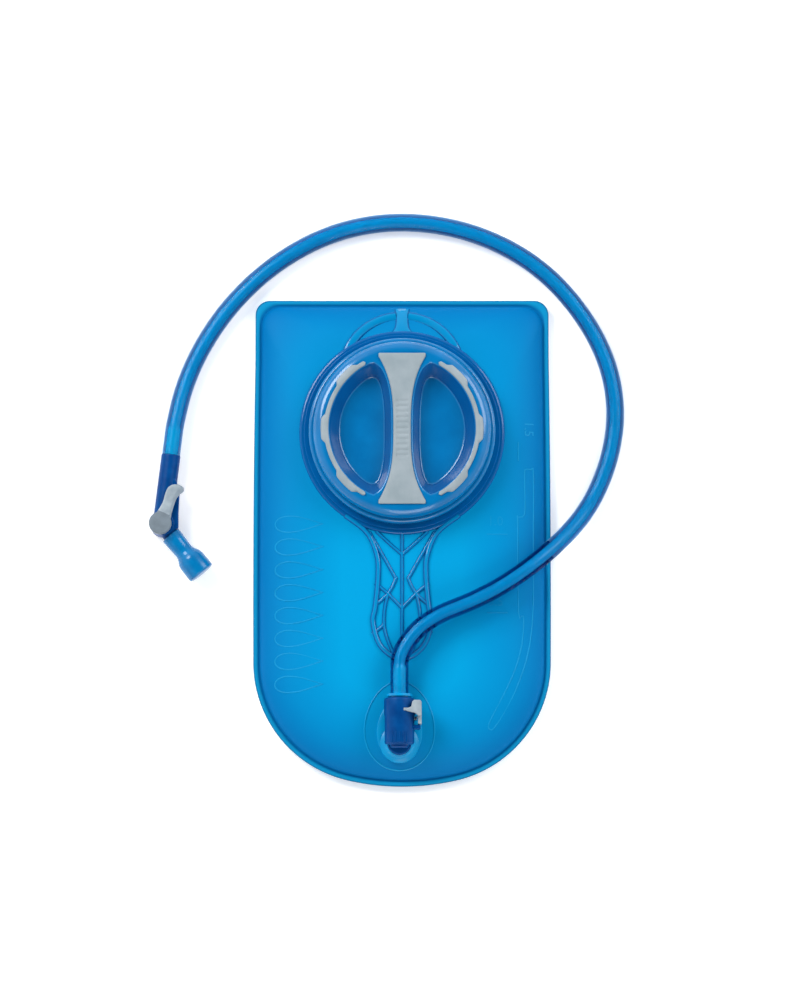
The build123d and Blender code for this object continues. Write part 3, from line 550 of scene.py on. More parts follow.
moulding = {
    "ring": [(46.6, 16.5), (46.6, 20.5), (58.2, 20.5), (59.2, 20.3), (59.8, 19.7), (60.0, 18.8), (60.0, 16.5)],
    "handle": [(34.0, -50.0), (21.8, -59.6), (16.3, -72.0), (15.5, -83.0), (17.0, -101.0),
               (18.5, -111.0), (15.0, -124.0), (7.5, -131.8), (0.0, -133.9)],
    "rim": 3.2, "rimHeight": 1.7, "vein": 2.2, "veinHeight": 1.1,
    "spine": [(0, -59), (0, -80), (0, -103), (0, -118), (0, -131.5)],
    "veins": [
        [(15.0, -58.0), (7.0, -65.4), (0, -71.5)],
        [(19.0, -58.5), (11.0, -72.5), (4.6, -84.0), (3.8, -86.2), (8.2, -94.5), (16.6, -102.0)],
        [(15.6, -88.5), (11.8, -91.4), (8.2, -94.5), (4.2, -98.6), (0, -103.0)],
        [(8.2, -94.5), (10.2, -104.0), (10.4, -113.5), (8.4, -121.5), (5.0, -129.5)],
        [(10.4, -112.5), (14.0, -115.6), (17.4, -118.0)],
    ],
    "bandCentre": (0, 35.0), "bandRadius": 34.6, "band": 5.4, "bandHeight": 1.3, "bandArc": (22, 84),
    "stem": [(59.0, 15.0), (60.5, 11.0), (62.5, 8.6), (66.0, 7.6), (69.0, 7.6), (72.0, 8.4), (74.4, 9.0)],
    }


def makeMoulding():
    bm = bmesh.new()
    half = moulding["handle"]
    edge = smoothPath([(x, y + portCentre.y) for x, y in half + [(-x, y) for x, y in reversed(half[:-1])]])
    rim = []
    for i, point in enumerate(edge):
        along = (edge[min(i + 1, len(edge) - 1)] - edge[max(i - 1, 0)]).normalized()
        rim.append(point + Vector((along.y, -along.x, 0)) * moulding["rim"] / 2)
    addRib(bm, rim, moulding["rim"], moulding["rimHeight"], sections=12)
    veins = [moulding["spine"]]
    for vein in moulding["veins"]:
        veins += [vein, [(-x, y) for x, y in vein]]
    for vein in veins:
        path = smoothPath([(x, y + portCentre.y) for x, y in vein])
        addRib(bm, path, moulding["vein"], moulding["veinHeight"], sections=10)
    start, end = moulding["bandArc"]
    for side in (1, -1):
        arc = arcPoints(moulding["bandCentre"], moulding["bandRadius"], start, end, 36)
        band = [Vector((side * x, y + portCentre.y, 0)) for x, y in arc]
        addRib(bm, band, moulding["band"], moulding["bandHeight"], sections=14)
    stem = [Vector((0, y + portCentre.y, 0)) for y, width in moulding["stem"]]
    addRib(bm, stem, [width for y, width in moulding["stem"]], moulding["bandHeight"], sections=14)
    ring = bmesh.new()
    lathe(ring, moulding["ring"] + moulding["ring"][:1], 160)
    bmesh.ops.translate(ring, verts=ring.verts, vec=portCentre * mm)
    joinPart(bm, ring)
    makePiece("portMoulding", bm, "bag", clearMoulding, ["port_moulding"], sharp=50)


makeMoulding()

outlet = {
    # half width, half length, middle's Y, and how much narrower the front is
    "weld": (20.2, 25.6, -108.4, 0.12), "pad": (12.7, 17.6, -110.8, 0.1),
    "line": 1.0, "lineHeight": 0.35,
    "padSteps": [(0.4, -0.3), (0.2, 0.45), (-0.6, 0.75), (-3.0, 0.8), (-7.0, 0.8)],  # outwards and upwards
    "boot": [(7.1, 18.2), (11.4, 18.2), (11.2, 19.9), (9.4, 20.6), (8.3, 21.6), (7.7, 23.0), (7.1, 23.3)],
}


def eggPoints(shape, grow=0.0, steps=72):
    halfWidth, halfLength, middle, taper = shape
    points = []
    for i in range(steps):
        turn = 2 * math.pi * i / steps
        x = (halfWidth + grow) * math.cos(turn) * (1 - taper * math.sin(turn))
        points.append(Vector((outletCentre.x + x, middle + (halfLength + grow) * math.sin(turn), 0)))
    return points


def makeOutletFlange():
    bm = bmesh.new()
    for shape in (outlet["weld"], outlet["pad"]):
        addRib(bm, eggPoints(shape), outlet["line"], outlet["lineHeight"], closed=True, sections=6)
    loops = [[(p.x, p.y, filmHeight(p.x, p.y) + height) for p in eggPoints(outlet["pad"], grow)]
             for grow, height in outlet["padSteps"]]
    loftLoops(bm, loops, capStart=False)
    boot = bmesh.new()
    lathe(boot, outlet["boot"] + outlet["boot"][:1], 72)
    bmesh.ops.translate(boot, verts=boot.verts, vec=outletCentre * mm)
    joinPart(bm, boot)
    makePiece("outletFlange", bm, "bag", flangePlastic, ["outlet_flange"], sharp=50)


makeOutletFlange()
print("moulding and outlet flange made")


# Low relief pressed into the front film: the level window, its marks and a row of drops

relief = {
    "line": 0.9, "height": 0.16,
    "window": [(71.5, 40.5), (72.6, 42.0), (75.4, 42.0), (76.6, 40.5), (76.6, 10.0), (76.4, -30.0),
               (75.4, -52.0), (72.5, -69.0), (66.5, -86.5), (59.0, -101.0), (53.5, -109.5),
               (51.3, -110.5), (50.0, -108.8), (52.4, -103.0), (60.0, -88.5), (66.0, -75.0),
               (69.8, -60.0), (70.6, -44.0), (67.6, -42.0), (67.4, 10.0), (67.4, 13.5),
               (71.4, 15.5), (71.5, 30.0)],
    "numbers": [("1.0", (54.5, 11.0), 0), ("0.5", (54.5, -36.0), 0), ("1.5", (74.0, 66.0), -90)],
    "numberSize": 7.6, "numberDepth": 0.25, "numberSink": 0.08,
    "bars": [((49.5, 3.5), (61.5, 3.5)), ((49.5, -42.5), (61.5, -42.5)), ((67.8, 47.0), (67.8, 58.0))],
    "drops": 8, "dropStart": (-60.0, 9.5), "dropStep": 13.4, "dropLength": 28.0, "dropWidth": 10.0,
}


def dropOutline(middle, steps=40):  # a drop of water lying on its side
    points = []
    for i in range(steps):
        turn = 2 * math.pi * i / steps
        x = math.cos(turn) * relief["dropLength"] / 2
        y = math.sin(turn) * math.sin(turn / 2) ** 1.4 * relief["dropWidth"] / 1.5
        points.append(Vector((middle[0] + x, middle[1] + y, 0)))
    return points


def makeRelief():
    bm = bmesh.new()
    addRib(bm, smoothPath(relief["window"], closed=True, steps=3), relief["line"], relief["height"],
           closed=True, sections=6)
    for bar in relief["bars"]:
        addRib(bm, smoothPath(bar, steps=5), relief["line"], relief["height"], sections=6)
    for i in range(relief["drops"]):
        middle = (relief["dropStart"][0], relief["dropStart"][1] - relief["dropStep"] * i)
        addRib(bm, dropOutline(middle), relief["line"], relief["height"], closed=True, sections=6)
    for text, place, turn in relief["numbers"]:
        curve = bpy.data.curves.new("number", "FONT")
        curve.body, curve.size, curve.extrude = text, relief["numberSize"] * mm, relief["numberDepth"] * mm
        curve.align_x = curve.align_y = "CENTER"
        label = bpy.data.objects.new("number", curve)
        bpy.context.scene.collection.objects.link(label)
        mesh = bpy.data.meshes.new_from_object(label.evaluated_get(bpy.context.evaluated_depsgraph_get()))
        bpy.data.objects.remove(label)
        part = bmesh.new()
        part.from_mesh(mesh)
        spin = Matrix.Rotation(math.radians(turn), 4, "Z")
        bmesh.ops.transform(part, matrix=Matrix.Translation(Vector((*place, 0)) * mm) @ spin, verts=part.verts)
        for vert in part.verts:
            vert.co.z += (filmHeight(vert.co.x / mm, vert.co.y / mm) - relief["numberSink"]) * mm
        joinPart(bm, part)
    makePiece("filmRelief", bm, "bag", reliefFilm, sharp=60)


makeRelief()
print("relief made")


# Port neck, with its three thread starts

thread = {"starts": 3, "lead": 15.0, "depth": 1.9, "root": 1.3, "crest": 0.6, "bite": 0.3,
          "ridgeStart": 25.3, "ridgeSweep": 136.8, "lugStart": 25.3, "lugAngle": 60.0, "lugSweep": 24.0}


def addHelix(bm, radius, side, start, sweep, height):
    steps = max(4, int(sweep / 4))
    loops = []
    for i in range(steps + 1):
        turn = math.radians(start + sweep * i / steps)
        ease = min(1, 4 * i / steps + 0.15, 4 * (steps - i) / steps + 0.15)
        z = height + thread["lead"] * sweep / 360 * i / steps
        loop = []
        for out, up in ((-thread["bite"], -thread["root"]), (thread["depth"] * ease, -thread["crest"]),
                        (thread["depth"] * ease, thread["crest"]), (-thread["bite"], thread["root"])):
            r = radius + side * out
            loop.append((r * math.cos(turn), r * math.sin(turn), z + up))
        loops.append(loop)
    loftLoops(bm, loops)


neck = {
    "tube": [(43.0, 16.3), (43.0, 32.4), (43.6, 33.0), (45.9, 33.0), (46.5, 32.4), (46.5, 23.0), (47.0, 22.4)],
    "flangeEdge": ((56.6, 21.6), 0.8),
    "underside": [(57.4, 19.2), (46.5, 19.2), (46.5, 16.3), (43.0, 16.3)],
    "radius": 46.5,
}


def makeNeck():
    bm = bmesh.new()
    lathe(bm, neck["tube"] + arcPoints(*neck["flangeEdge"], 90, 0, 5) + neck["underside"], 160)
    for i in range(thread["starts"]):
        addHelix(bm, neck["radius"], 1, i * 120, thread["ridgeSweep"], thread["ridgeStart"])
    bmesh.ops.translate(bm, verts=bm.verts, vec=portCentre * mm)
    makePiece("portNeck", bm, "bag", neckPlastic, ["fill_port_neck"], sharp=40)


makeNeck()


# Cap: shoulder and skirt are turned, and the two finger pockets are pressed into its top

cap = {
    "top": 39.0, "floor": 28.0, "pocketRim": 42.3, "centre": 21.5,
    "barHalf": 5.1, "flare": 9.9, "barEnd": 13.7, "barHalfLength": 44.2, "border": 1.3,
    # outside, from the top's edge down: shoulder, step, rim, skirt and then the inside
    "shoulder": ((45.8, 32.8), 6.2), "step": [(51.5, 31.1), (51.6, 30.7)], "rim": ((52.5, 28.7), 1.95),
    "skirt": [(54.5, 28.0), (54.5, 24.0), (54.1, 23.3), (53.6, 23.2), (49.8, 23.2), (49.3, 23.7), (49.3, 35.6),
              (48.8, 36.0), (42.2, 36.0), (38.2, 27.2), (36.6, 26.0), (0, 26.0)],
    "lugRadius": 49.3,
    "pocketEdge": [(0.9, 0), (0.35, 0.12), (0, 0.55)],  # out of the pocket's rim, and below the top
    "wallSteps": 5, "wallIn": 4.6, "wallRun": 3.0, "wallFoot": 2.4, "rimCorner": 9, "wallCorner": 2,
    # in from the rim, away from the bar, and height over the pocket's floor
    "pocketFoot": [(5.0, 0.3, 0.9), (5.5, 0.7, 0.25), (6.4, 1.4, 0)],
    "footCorner": 8,
}


def barHalfWidth(y):
    flare = cap["flare"] * abs(y / cap["barHalfLength"]) ** 3
    return min(cap["barHalf"] + flare, cap["barEnd"])


def pocketPoint(angle, rim, side, sharpness):  # where a ray from the pocket's middle meets its edge
    cx, dx, dy = cap["centre"], math.cos(angle), math.sin(angle)
    toRim = -cx * dx + math.sqrt((cx * dx) ** 2 - cx * cx + rim * rim)
    low, high = 0.0, 90.0
    for _ in range(30):
        middle = (low + high) / 2
        x, y = cx + middle * dx, middle * dy
        if x > barHalfWidth(min(abs(y), 60)) + side:
            low = middle
        else:
            high = middle
    reach = (toRim ** -sharpness + low ** -sharpness) ** (-1 / sharpness)
    return cx + reach * dx, reach * dy


def pocketLoop(mirror, rim, side, height, sharpness, steps=96):
    points = []
    for i in range(steps):
        x, y = pocketPoint(2 * math.pi * i / steps, rim, side, sharpness)
        points.append((mirror * x, y, height))
    return points


def makeCap():
    bm = bmesh.new()
    top, floor = cap["top"], cap["floor"]
    outside = arcPoints(*cap["shoulder"], 90, -12, 14) + cap["step"] + arcPoints(*cap["rim"], 118, 0, 8)
    lathe(bm, outside + cap["skirt"], 160)
    rimEdges = [e for e in bm.edges if e.is_boundary and all(v.co.z > (top - 0.05) * mm for v in e.verts)]
    rim, side, lowEdge = cap["pocketRim"], cap["border"], top - cap["pocketEdge"][-1][1]
    rings = [(rim + out, side - out, top - drop, cap["rimCorner"]) for out, drop in cap["pocketEdge"]]
    for i in range(1, cap["wallSteps"] + 1):
        share = i / cap["wallSteps"]
        height = lowEdge - (top - floor - cap["wallFoot"]) * share
        rings.append((rim - cap["wallIn"] * share, side + cap["wallRun"] * share, height,
                      cap["rimCorner"] - cap["wallCorner"] * share))
    rings += [(rim - inwards, side + cap["wallRun"] + across, floor + height, cap["footCorner"])
              for inwards, across, height in cap["pocketFoot"]]
    pockets = []
    for mirror in (1, -1):
        pockets += loftLoops(bm, [pocketLoop(mirror, *ring) for ring in rings], capStart=False)[:1]
    bmesh.ops.triangle_fill(bm, use_beauty=True, edges=rimEdges + pockets[0] + pockets[1])
    for i in range(thread["starts"]):
        addHelix(bm, cap["lugRadius"], -1, i * 120 + thread["lugAngle"], thread["lugSweep"],
                 thread["lugStart"])
    bmesh.ops.translate(bm, verts=bm.verts, vec=portCentre * mm)
    shell = makePiece("capShell", bm, "cap", capPlastic, ["cap_shell"], sharp=50)
    shell.data.materials.append(pocketShadePlastic)
    # The pocket walls get the darker material: painted shade in the pockets
    for polygon in shell.data.polygons:
        out = (polygon.center - portCentre * mm).xy.length / mm
        if out < rim - 0.1 and floor + 0.5 < polygon.center.z / mm < top - 0.6:
            polygon.material_index = 1


makeCap()

grip = {
    "top": 40.2, "base": 38.4, "round": 0.7,
    "barEnd": [(0, 0.5, 0.6), (0.15, 0.15, 0.15), (0.6, 0, 0)],  # from the end, narrower by, and lower by
    "barSteps": 176,
    "grooves": 11, "grooveStep": 3.2, "grooveDepth": 0.45, "grooveHalf": 3.2, "grooveReach": 0.9,
    "grooveMargin": 1.2, "grooveWall": 0.35,
    "arcInner": 42.9, "arcWidth": 2.5, "arcDrop": 0.2, "arcSteps": 150, "halfAngle": 61.0,
    "bump": 2.0, "bumps": (0, 44, -44), "bumpHalf": 11.5, "bumpEase": 4.5, "bumpSlope": 0.6,
}


def barSection(y, shrink, lift):  # across the bar at a place along it
    half = barHalfWidth(y) - shrink
    top = grip["top"] - lift
    edge = grip["round"]
    depth = 0.0
    for i in range(grip["grooves"]):
        centre = (i - (grip["grooves"] - 1) / 2) * grip["grooveStep"]
        depth = max(depth, grip["grooveDepth"] * max(0, 1 - abs(y - centre) / grip["grooveReach"]) ** 0.5)
    inner = min(grip["grooveHalf"], half - grip["grooveMargin"])
    right = [(half, grip["base"]), (half, top - edge), (half - edge * 0.3, top - edge * 0.3),
             (half - edge, top), (inner + grip["grooveWall"], top), (inner, top - depth),
             (inner * 0.5, top - depth)]
    points = right + [(0, top - depth)] + [(-x, z) for x, z in reversed(right)]
    return [(x, y, z) for x, z in points]


def makeGripBar():
    bm = bmesh.new()
    end, rounded, count = cap["barHalfLength"], grip["barEnd"][-1][0], grip["barSteps"]
    stations = [(inwards - end, shrink, lift) for inwards, shrink, lift in grip["barEnd"]]
    stations += [(rounded - end + 2 * (end - rounded) * i / count, 0, 0) for i in range(1, count)]
    stations += [(end - inwards, shrink, lift) for inwards, shrink, lift in reversed(grip["barEnd"])]
    loftLoops(bm, [barSection(*station) for station in stations])
    bmesh.ops.translate(bm, verts=bm.verts, vec=portCentre * mm)
    makePiece("capGripBar", bm, "cap", gripRubber, ["cap_grip_bar"], sharp=50)


def arcWidthAt(angle):
    width = grip["arcWidth"]
    for middle in grip["bumps"]:
        share = min(1, max(0, (grip["bumpHalf"] - abs(angle - middle)) / grip["bumpEase"]))
        width += grip["bump"] * share * share * (3 - 2 * share)
    return width


def makeGripArc(name, facing, node):
    bm = bmesh.new()
    loops = []
    count = grip["arcSteps"]
    for i in range(count + 1):
        angle = grip["halfAngle"] * (2 * i / count - 1)
        tip = (grip["halfAngle"] - abs(angle)) * math.radians(1) * grip["arcInner"]  # mm to the arc's end
        full = grip["arcWidth"] / 2
        squeeze = math.sqrt(max(0.02, 1 - max(0, 1 - tip / full) ** 2))
        width = arcWidthAt(angle)
        middle = grip["arcInner"] + grip["arcWidth"] / 2
        low = middle - full * squeeze
        high = middle + (width - full) * squeeze
        edge = min(grip["round"], (high - low) / 4)
        top = grip["top"] - grip["arcDrop"]
        ledge = min(middle + full * squeeze, high - edge)
        drop = grip["bumpSlope"] * (width - grip["arcWidth"]) / grip["bump"]
        section = [(low, grip["base"]), (low, top - edge), (low + edge * 0.3, top - edge * 0.3),
                   (low + edge, top), (ledge, top), (high - edge, top - drop),
                   (high - edge * 0.3, top - drop - edge * 0.4),
                   (high, top - drop - edge), (high, grip["base"])]
        turn = math.radians(angle + facing)
        loops.append([(r * math.cos(turn), r * math.sin(turn), z) for r, z in section])
    loftLoops(bm, loops)
    bmesh.ops.translate(bm, verts=bm.verts, vec=portCentre * mm)
    makePiece(name, bm, "cap", gripRubber, [node], sharp=50)


makeGripBar()
makeGripArc("capGripRight", 0, "cap_grip_right")
makeGripArc("capGripLeft", 180, "cap_grip_left")
print("cap made")


# Coupling: the socket is turned about the hose's axis

socket = {
    "axis": (-1.5, 30.1), "mouth": -93.4,
    # radius, and distance from the mouth
    "lip": [(6.1, -0.5), (6.6, 0)], "lipRound": ((7.4, -1.6), 1.6),
    "outside": [(9.0, -9.8), (8.6, -10.8), (8.6, -26.2), (8.0, -27.0), (5.9, -27.2), (5.4, -27.8),
                (5.4, -28.6), (4.8, -29.0), (0, -29.0)],
    "bore": [(0, -27.9), (3.6, -27.9), (3.6, -25.6), (4.8, -25.6), (4.8, -15.0), (3.4, -15.0),
             (3.4, -13.6), (6.1, -13.6), (6.1, -0.5)],
    "stub": [(0, 14.5), (6.4, 14.5), (7.0, 15.0), (7.0, 27.0), (6.5, 27.5), (0, 27.5)],
    "bodyRadius": 8.6, "ribs": 5, "ribStep": 2.1, "ribWidth": 0.7, "ribEnds": (-120.0, -113.6),
    "ribProud": 0.45, "ribSink": 1.0, "ribEdge": 0.15,
    "guard": (7.0, 12.2, -111.8, -109.3), "guardHeights": (-4.0, 3.4), "guardEdge": 0.5,
}


def rectangle(left, right, front, back):
    return [(left, front), (left, back), (right, back), (right, front)]


def makeSocket():
    bm = bmesh.new()
    lathe(bm, socket["lip"] + arcPoints(*socket["lipRound"], 90, 0, 6) + socket["outside"], 96)
    lathe(bm, socket["bore"], 96)
    axisX, axisZ = socket["axis"]
    standUp(bm, (axisX, socket["mouth"], axisZ), (0, 1, 0))
    stub = bmesh.new()
    lathe(stub, socket["stub"], 64)
    bmesh.ops.translate(stub, verts=stub.verts, vec=outletCentre * mm)
    joinPart(bm, stub)
    half = socket["ribWidth"] / 2
    for i in range(socket["ribs"]):
        across = socket["ribStep"] * (i - (socket["ribs"] - 1) / 2)
        lift = axisZ + math.sqrt(socket["bodyRadius"] ** 2 - across ** 2)
        plan = rectangle(axisX + across - half, axisX + across + half, *socket["ribEnds"])
        addPrism(bm, plan, lift - socket["ribSink"], lift + socket["ribProud"], socket["ribEdge"])
    left, right, front, back = socket["guard"]
    low, high = socket["guardHeights"]
    addPrism(bm, rectangle(axisX + left, axisX + right, front, back), axisZ + low, axisZ + high,
             socket["guardEdge"])
    makePiece("couplingSocket", bm, "bag", darkAcetal, ["coupling_socket"], sharp=35)


makeSocket()


button = {
    # each block: its plan (X from the coupling's axis, and Y), its heights from the axis, its rounding
    "hood": ([(12.8, -96.6), (12.0, -95.4), (8.4, -95.3), (7.2, -96.6), (6.9, -99.2), (3.9, -100.5),
              (3.8, -101.7), (6.4, -102.4), (9.0, -102.9), (10.8, -104.6), (12.8, -104.6)], 7.4, 9.5, 0.5),
    "pad": (rectangle(10.7, 12.8, -108.8, -95.8), -5.4, 5.4, 0.5),
    "cheek": (rectangle(10.7, 12.6, -104.4, -96.4), 3.9, 8.7, 0.2),
    "upperProng": (rectangle(2.4, 11.2, -101.5, -99.9), 6.4, 9.0, 0.15),
    "lowerProng": (rectangle(2.4, 11.2, -101.5, -99.9), -8.4, -6.4, 0.15),
    "neck": (rectangle(10.7, 11.6, -101.5, -99.9), -8.4, 0, 0.1),
}


def makeButton():
    bm = bmesh.new()
    for block in button.values():
        addPrism(bm, *block)
    bmesh.ops.translate(bm, verts=bm.verts, vec=Vector((socket["axis"][0], 0, socket["axis"][1])) * mm)
    makePiece("releaseButton", bm, "button", greyAcetal, ["release_button"], sharp=40)


makeButton()


# Valve end: its two axes meet at the lever's pivot

valve = {
    "centre": Vector((-140.2, 10.2, 8.5)), "inlet": 83.0, "outlet": -50.8, "lever": 66.0,
    "skin": 0.32, "rounds": 6, "softness": 0.5,
}
mouthpiece = {
    # radius, and distance along the outlet's axis from the pivot
    "outside": [(4.75, 8.4), (5.2, 8.0), (5.7, 8.1), (5.95, 8.6), (5.75, 13.5), (5.5, 18.0), (5.45, 20.6),
                (5.75, 21.8), (6.6, 23.4), (7.3, 24.6), (7.75, 25.6), (8.05, 27.2), (8.15, 29.0), (8.2, 33.0),
                (8.15, 35.8), (7.95, 36.5), (7.4, 36.85), (5.0, 37.1), (2.5, 37.2), (0, 37.2)],
    "inside": [(0, 34.8), (6.0, 34.8), (6.3, 34.4), (6.3, 28.4), (4.75, 26.4), (4.75, 8.4)],
}


def makeValveBody():  # the CAD part with its edges rounded off
    bm = bmesh.new()
    bm.from_mesh(frame["nodes"]["valve_body"].data)
    bmesh.ops.remove_doubles(bm, verts=bm.verts, dist=0.001 * mm)
    mesh = bpy.data.meshes.new("valveBody")
    bm.to_mesh(mesh)
    bm.free()
    piece = bpy.data.objects.new("valveBody", mesh)
    bpy.context.scene.collection.objects.link(piece)
    skin = piece.modifiers.new("skin", "REMESH")
    skin.mode, skin.voxel_size = "VOXEL", valve["skin"] * mm
    soft = piece.modifiers.new("soft", "SMOOTH")
    soft.factor, soft.iterations = valve["softness"], valve["rounds"]
    applyModifiers(piece)
    return finishPiece(piece, "hose", darkAcetal, ["valve_body"], sharp=80)


def flatDirection(angle):
    return Vector((math.cos(math.radians(angle)), math.sin(math.radians(angle)), 0))


def makeBiteValve():
    bm = bmesh.new()
    lathe(bm, mouthpiece["outside"] + mouthpiece["inside"], 96)
    standUp(bm, valve["centre"], flatDirection(valve["outlet"]))
    return makePiece("biteValve", bm, "mouthpiece", silicone, ["bite_valve"], sharp=60)


valveBody = makeValveBody()
biteValve = makeBiteValve()

leverShape = {
    "bottom": 15.4, "disc": 6.6, "discTop": 18.6, "discEdge": (0.5, 0.4), "discRound": 0.8,
    # along the paddle from the pivot: its left edge, the ridge on its right, its right edge, and its height
    "paddle": [(3.0, 4.8, -3.6, -4.8, 3.1), (6.3, 4.2, -2.7, -4.0, 3.0), (8.5, 3.8, -2.0, -3.5, 2.9),
               (11.2, 3.6, -1.5, -3.1, 2.8), (13.5, 3.8, -0.9, -2.8, 2.8), (17.0, 4.4, -0.4, -2.6, 2.9),
               (19.5, 4.5, -0.6, -3.2, 3.1), (21.3, 4.2, -1.0, -4.2, 3.3), (22.8, 3.2, -1.5, -4.8, 3.5),
               (24.0, 1.6, -1.9, -4.4, 3.5), (24.9, -0.6, -2.0, -3.6, 3.3)],
    "slope": 2.9, "lowest": 0.5, "round": 0.6, "lean": 0.1, "crown": 0.15, "shift": -0.9,
    "hubShadeDepth": 0.95,  # depth of the darker hub from its top
}


def makeLever():
    bm = bmesh.new()
    base = leverShape["bottom"]
    radius, top, rounding = leverShape["disc"], leverShape["discTop"], leverShape["discRound"]
    inwards, up = leverShape["discEdge"]
    disc = [(0, base), (radius - inwards, base), (radius, base + up), (radius, top - rounding - 0.1)]
    disc += arcPoints((radius - rounding, top - rounding), rounding, 0, 90, 5) + [(0, top)]
    lathe(bm, disc, 72)
    loops = []
    edge = leverShape["round"]
    for along, left, ridge, right, height in leverShape["paddle"]:
        low = max(leverShape["lowest"], height - leverShape["slope"])
        section = [(right, 0), (right - leverShape["lean"], low - edge), (right + edge * 0.4, low),
                   (ridge - edge, height - edge * 0.5), (ridge, height),
                   ((ridge + left) / 2, height - leverShape["crown"]), (left - edge, height),
                   (left - edge * 0.2, height - edge * 0.4), (left, height - 1.4 * edge), (left, 0)]
        loops.append([(along, across, base + up) for across, up in section])
    loftLoops(bm, loops)
    turn = Matrix.Rotation(math.radians(valve["lever"]), 4, "Z")
    place = Vector((valve["centre"].x + leverShape["shift"], valve["centre"].y, 0)) * mm
    bmesh.ops.transform(bm, matrix=Matrix.Translation(place) @ turn, verts=bm.verts)
    bm.faces.index_update()
    # The hub's top faces get the darker material: painted shade on the lever's disc
    shadedHubFaces = [f.index for f in bm.faces if (f.calc_center_median() - place).xy.length < radius * mm
           and f.calc_center_median().z > (top - leverShape["hubShadeDepth"]) * mm]
    piece = makePiece("shutoffLever", bm, "lever", greyAcetal, ["shutoff_lever"], sharp=50)
    piece.data.materials.append(hubShadeAcetal)
    for index in shadedHubFaces:
        piece.data.polygons[index].material_index = 1
    return piece


lever = makeLever()
print("valve made")


# Drinking hose: extruded tube lying from the coupling, over the bag's edge and round it to the valve

hose = {
    "diameter": 10.6, "length": 0.627, "sides": 40,
    "lining": 3.1, "liningOnBarb": 3.6, "barb": 17.0, "swellRun": 1.5, "tooth": 4.5, "toothHeight": 0.12,
    "endFromPivot": 41.4, "straightAtValve": (18.6, 12.4, 6.2, 0), "straightAtSocket": (5, 10),
}
route = [
    (-1.5, -91.2, 30.1),
    (-1.5, -66.5, 30.1),
    (13.5, -47.5, 29.4),
    (47.0, -34.5, 27.8),
    (73.0, -18.0, 24.8),
    (97.5, 4.5, 12.6),
    (112.5, 25.5, 6.4),
    (122.8, 52.5, 5.4),
    (125.9, 80.0, 5.4),
    (120.5, 108.0, 5.4),
    (106.0, 135.5, 5.4),
    (84.0, 160.5, 5.4),
    (56.5, 178.0, 5.4),
    (24.5, 188.3, 5.4),
    (-10.0, 190.3, 5.4),
    (-43.0, 183.0, 5.4),
    (-73.5, 166.3, 5.4),
    (-98.0, 144.0, 5.4),
    (-116.0, 118.8, 5.4),
    (-127.5, 93.5, 5.6),
]
for reach in hose["straightAtValve"]:
    route.append(tuple(valve["centre"] + flatDirection(valve["inlet"]) * (hose["endFromPivot"] + reach)))
route[1:1] = [(route[0][0], route[0][1] + reach, route[0][2]) for reach in hose["straightAtSocket"]]


def splineCurve(name, points):
    curve = bpy.data.curves.new(name, "CURVE")
    curve.dimensions = "3D"
    spline = curve.splines.new("NURBS")
    spline.points.add(len(points) - 1)
    for point, place in zip(spline.points, points):
        point.co = (*(Vector(place) * mm), 1)
    spline.order_u = 3
    spline.use_endpoint_u = True
    curve.resolution_u = 12
    return bpy.data.objects.new(name, curve)


def curvePoints(points):  # the smooth line itself, read back as points
    line = splineCurve("hoseLine", points)
    bpy.context.scene.collection.objects.link(line)
    mesh = bpy.data.meshes.new_from_object(line.evaluated_get(bpy.context.evaluated_depsgraph_get()))
    found = [v.co.copy() for v in mesh.vertices]
    bpy.data.objects.remove(line)
    return found


def boreAt(fromEnd):  # the lining swells over the teeth of the barb
    if fromEnd > hose["barb"]:
        return hose["lining"]
    swollen = min(1, (hose["barb"] - fromEnd) / hose["swellRun"])
    tooth = hose["toothHeight"] * (1 - (fromEnd % hose["tooth"]) / hose["tooth"])
    return hose["lining"] + (hose["liningOnBarb"] - hose["lining"] + tooth) * swollen


def makeHose():
    path = curvePoints(route)
    travelled = [0.0]
    for one, two in zip(path, path[1:]):
        travelled.append(travelled[-1] + (two - one).length / mm)
    bm = bmesh.new()
    up = Vector((0, 0, 1))
    turns = [2 * math.pi * k / hose["sides"] for k in range(hose["sides"])]
    outside, inside = [], []
    for i, point in enumerate(path):
        along = (path[min(i + 1, len(path) - 1)] - path[max(i - 1, 0)]).normalized()
        side = along.cross(up).normalized()
        lift = side.cross(along)
        ring = [side * math.cos(t) + lift * math.sin(t) for t in turns]
        bore = boreAt(min(travelled[i], travelled[-1] - travelled[i]))
        outside.append([point / mm + spoke * hose["diameter"] / 2 for spoke in ring])
        inside.append([point / mm + spoke * bore for spoke in ring])
    outer = loftLoops(bm, outside, capStart=False, capEnd=False)
    wallCount = len(bm.faces)
    inner = loftLoops(bm, inside, capStart=False, capEnd=False)
    for one, two in ((outer[0], inner[0]), (outer[-1], inner[-1])):
        bmesh.ops.bridge_loops(bm, edges=one + two)
    piece = makePiece("drinkingHose", bm, "hose", tubeWall, ["drinking_hose"], sharp=60)
    # The inner skin gets the lining: painted light for the bright core of the clear tube
    piece.data.materials.append(paintedLightLining)
    for polygon in piece.data.polygons[wallCount:2 * wallCount]:
        polygon.material_index = 1
    return piece, path


hosePiece, hosePath = makeHose()
print("hose made")

# CAD parts that keep their own mesh
finishes = {
    "cap_gasket": sealSilicone, "plug_seal": sealSilicone, "poppet_seal": sealSilicone,
    "spool_seals": sealSilicone, "button_spring": springWire, "poppet_spring": springWire,
    "shutoff_poppet": darkAcetal, "hose_plug": plugPlastic, "valve_spool": greyAcetal,
}
for node, material in finishes.items():
    part = frame["nodes"][node]
    part.data.materials.clear()
    part.data.materials.append(material)

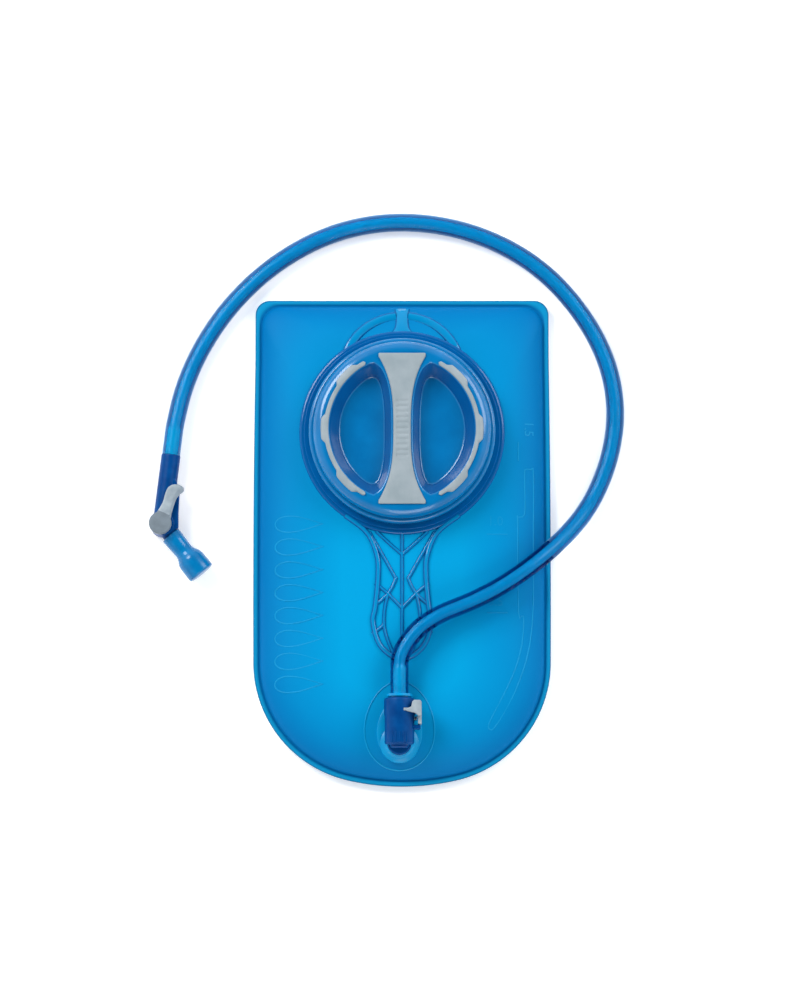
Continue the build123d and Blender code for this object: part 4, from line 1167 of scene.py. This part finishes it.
# Studio: pale table, soft light from the upper left, camera almost straight above
stage = {
    "table": 4.0, "distance": 4.0, "tilt": 7.0, "aim": (-1.2, 25.8, 0), "field": 0.586,
    "sky": [(0.55, "#e4e8ea"), (0.93, "#303234")],  # bright walls, and a dark ceiling where the camera hangs
    # place and aim in metres, size, watts
    "lights": {
        "keySoftbox": ((-0.95, 0.85, 1.15), (0, 0.05, 0), 0.8, 23),
        "rightSoftbox": ((1.15, 0.7, 1.1), (0, 0.05, 0), 0.9, 14),
        "frontSoftbox": ((0.2, -1.5, 1.1), (0, 0, 0), 1.0, 11),
    },
}


def areaLight(name, place, aim, size, watts):
    light = bpy.data.lights.new(name, "AREA")
    light.shape, light.size, light.energy = "SQUARE", size, watts
    lamp = bpy.data.objects.new(name, light)
    lamp.location = place
    lamp.rotation_euler = (Vector(aim) - Vector(place)).to_track_quat("-Z", "Y").to_euler()
    bpy.context.scene.collection.objects.link(lamp)


def makeStudio():
    bm = bmesh.new()
    bmesh.ops.create_grid(bm, x_segments=8, y_segments=8, size=stage["table"] / 2)
    mesh = bpy.data.meshes.new("table")
    bm.to_mesh(mesh)
    bm.free()
    table = bpy.data.objects.new("table", mesh)
    mesh.materials.append(floorPaint)
    bpy.context.scene.collection.objects.link(table)
    world = bpy.data.worlds.new("studio")
    world.use_nodes = True
    background = world.node_tree.nodes["Background"]
    way = addNode(world.node_tree, "ShaderNodeTexCoord").outputs["Generated"]
    upward = addNode(world.node_tree, "ShaderNodeSeparateXYZ", links={"Vector": way}).outputs["Z"]
    glow = ramp(world.node_tree, upward, stage["sky"])
    world.node_tree.links.new(glow.outputs["Color"], background.inputs["Color"])
    bpy.context.scene.world = world
    for name, light in stage["lights"].items():
        areaLight(name, *light)
    bpy.context.scene.view_settings.view_transform = "Standard"
    camera = bpy.data.cameras.new("camera")
    camera.lens = 36 * stage["distance"] / stage["field"]
    camera.clip_end = 20
    eye = bpy.data.objects.new("camera", camera)
    tilt = math.radians(stage["tilt"])
    back = Vector((0, -math.sin(tilt), math.cos(tilt))) * stage["distance"]
    eye.location = Vector(stage["aim"]) * mm + back
    eye.rotation_euler = (tilt, 0, 0)
    bpy.context.scene.collection.objects.link(eye)
    bpy.context.scene.camera = eye


makeStudio()
print("studio made")
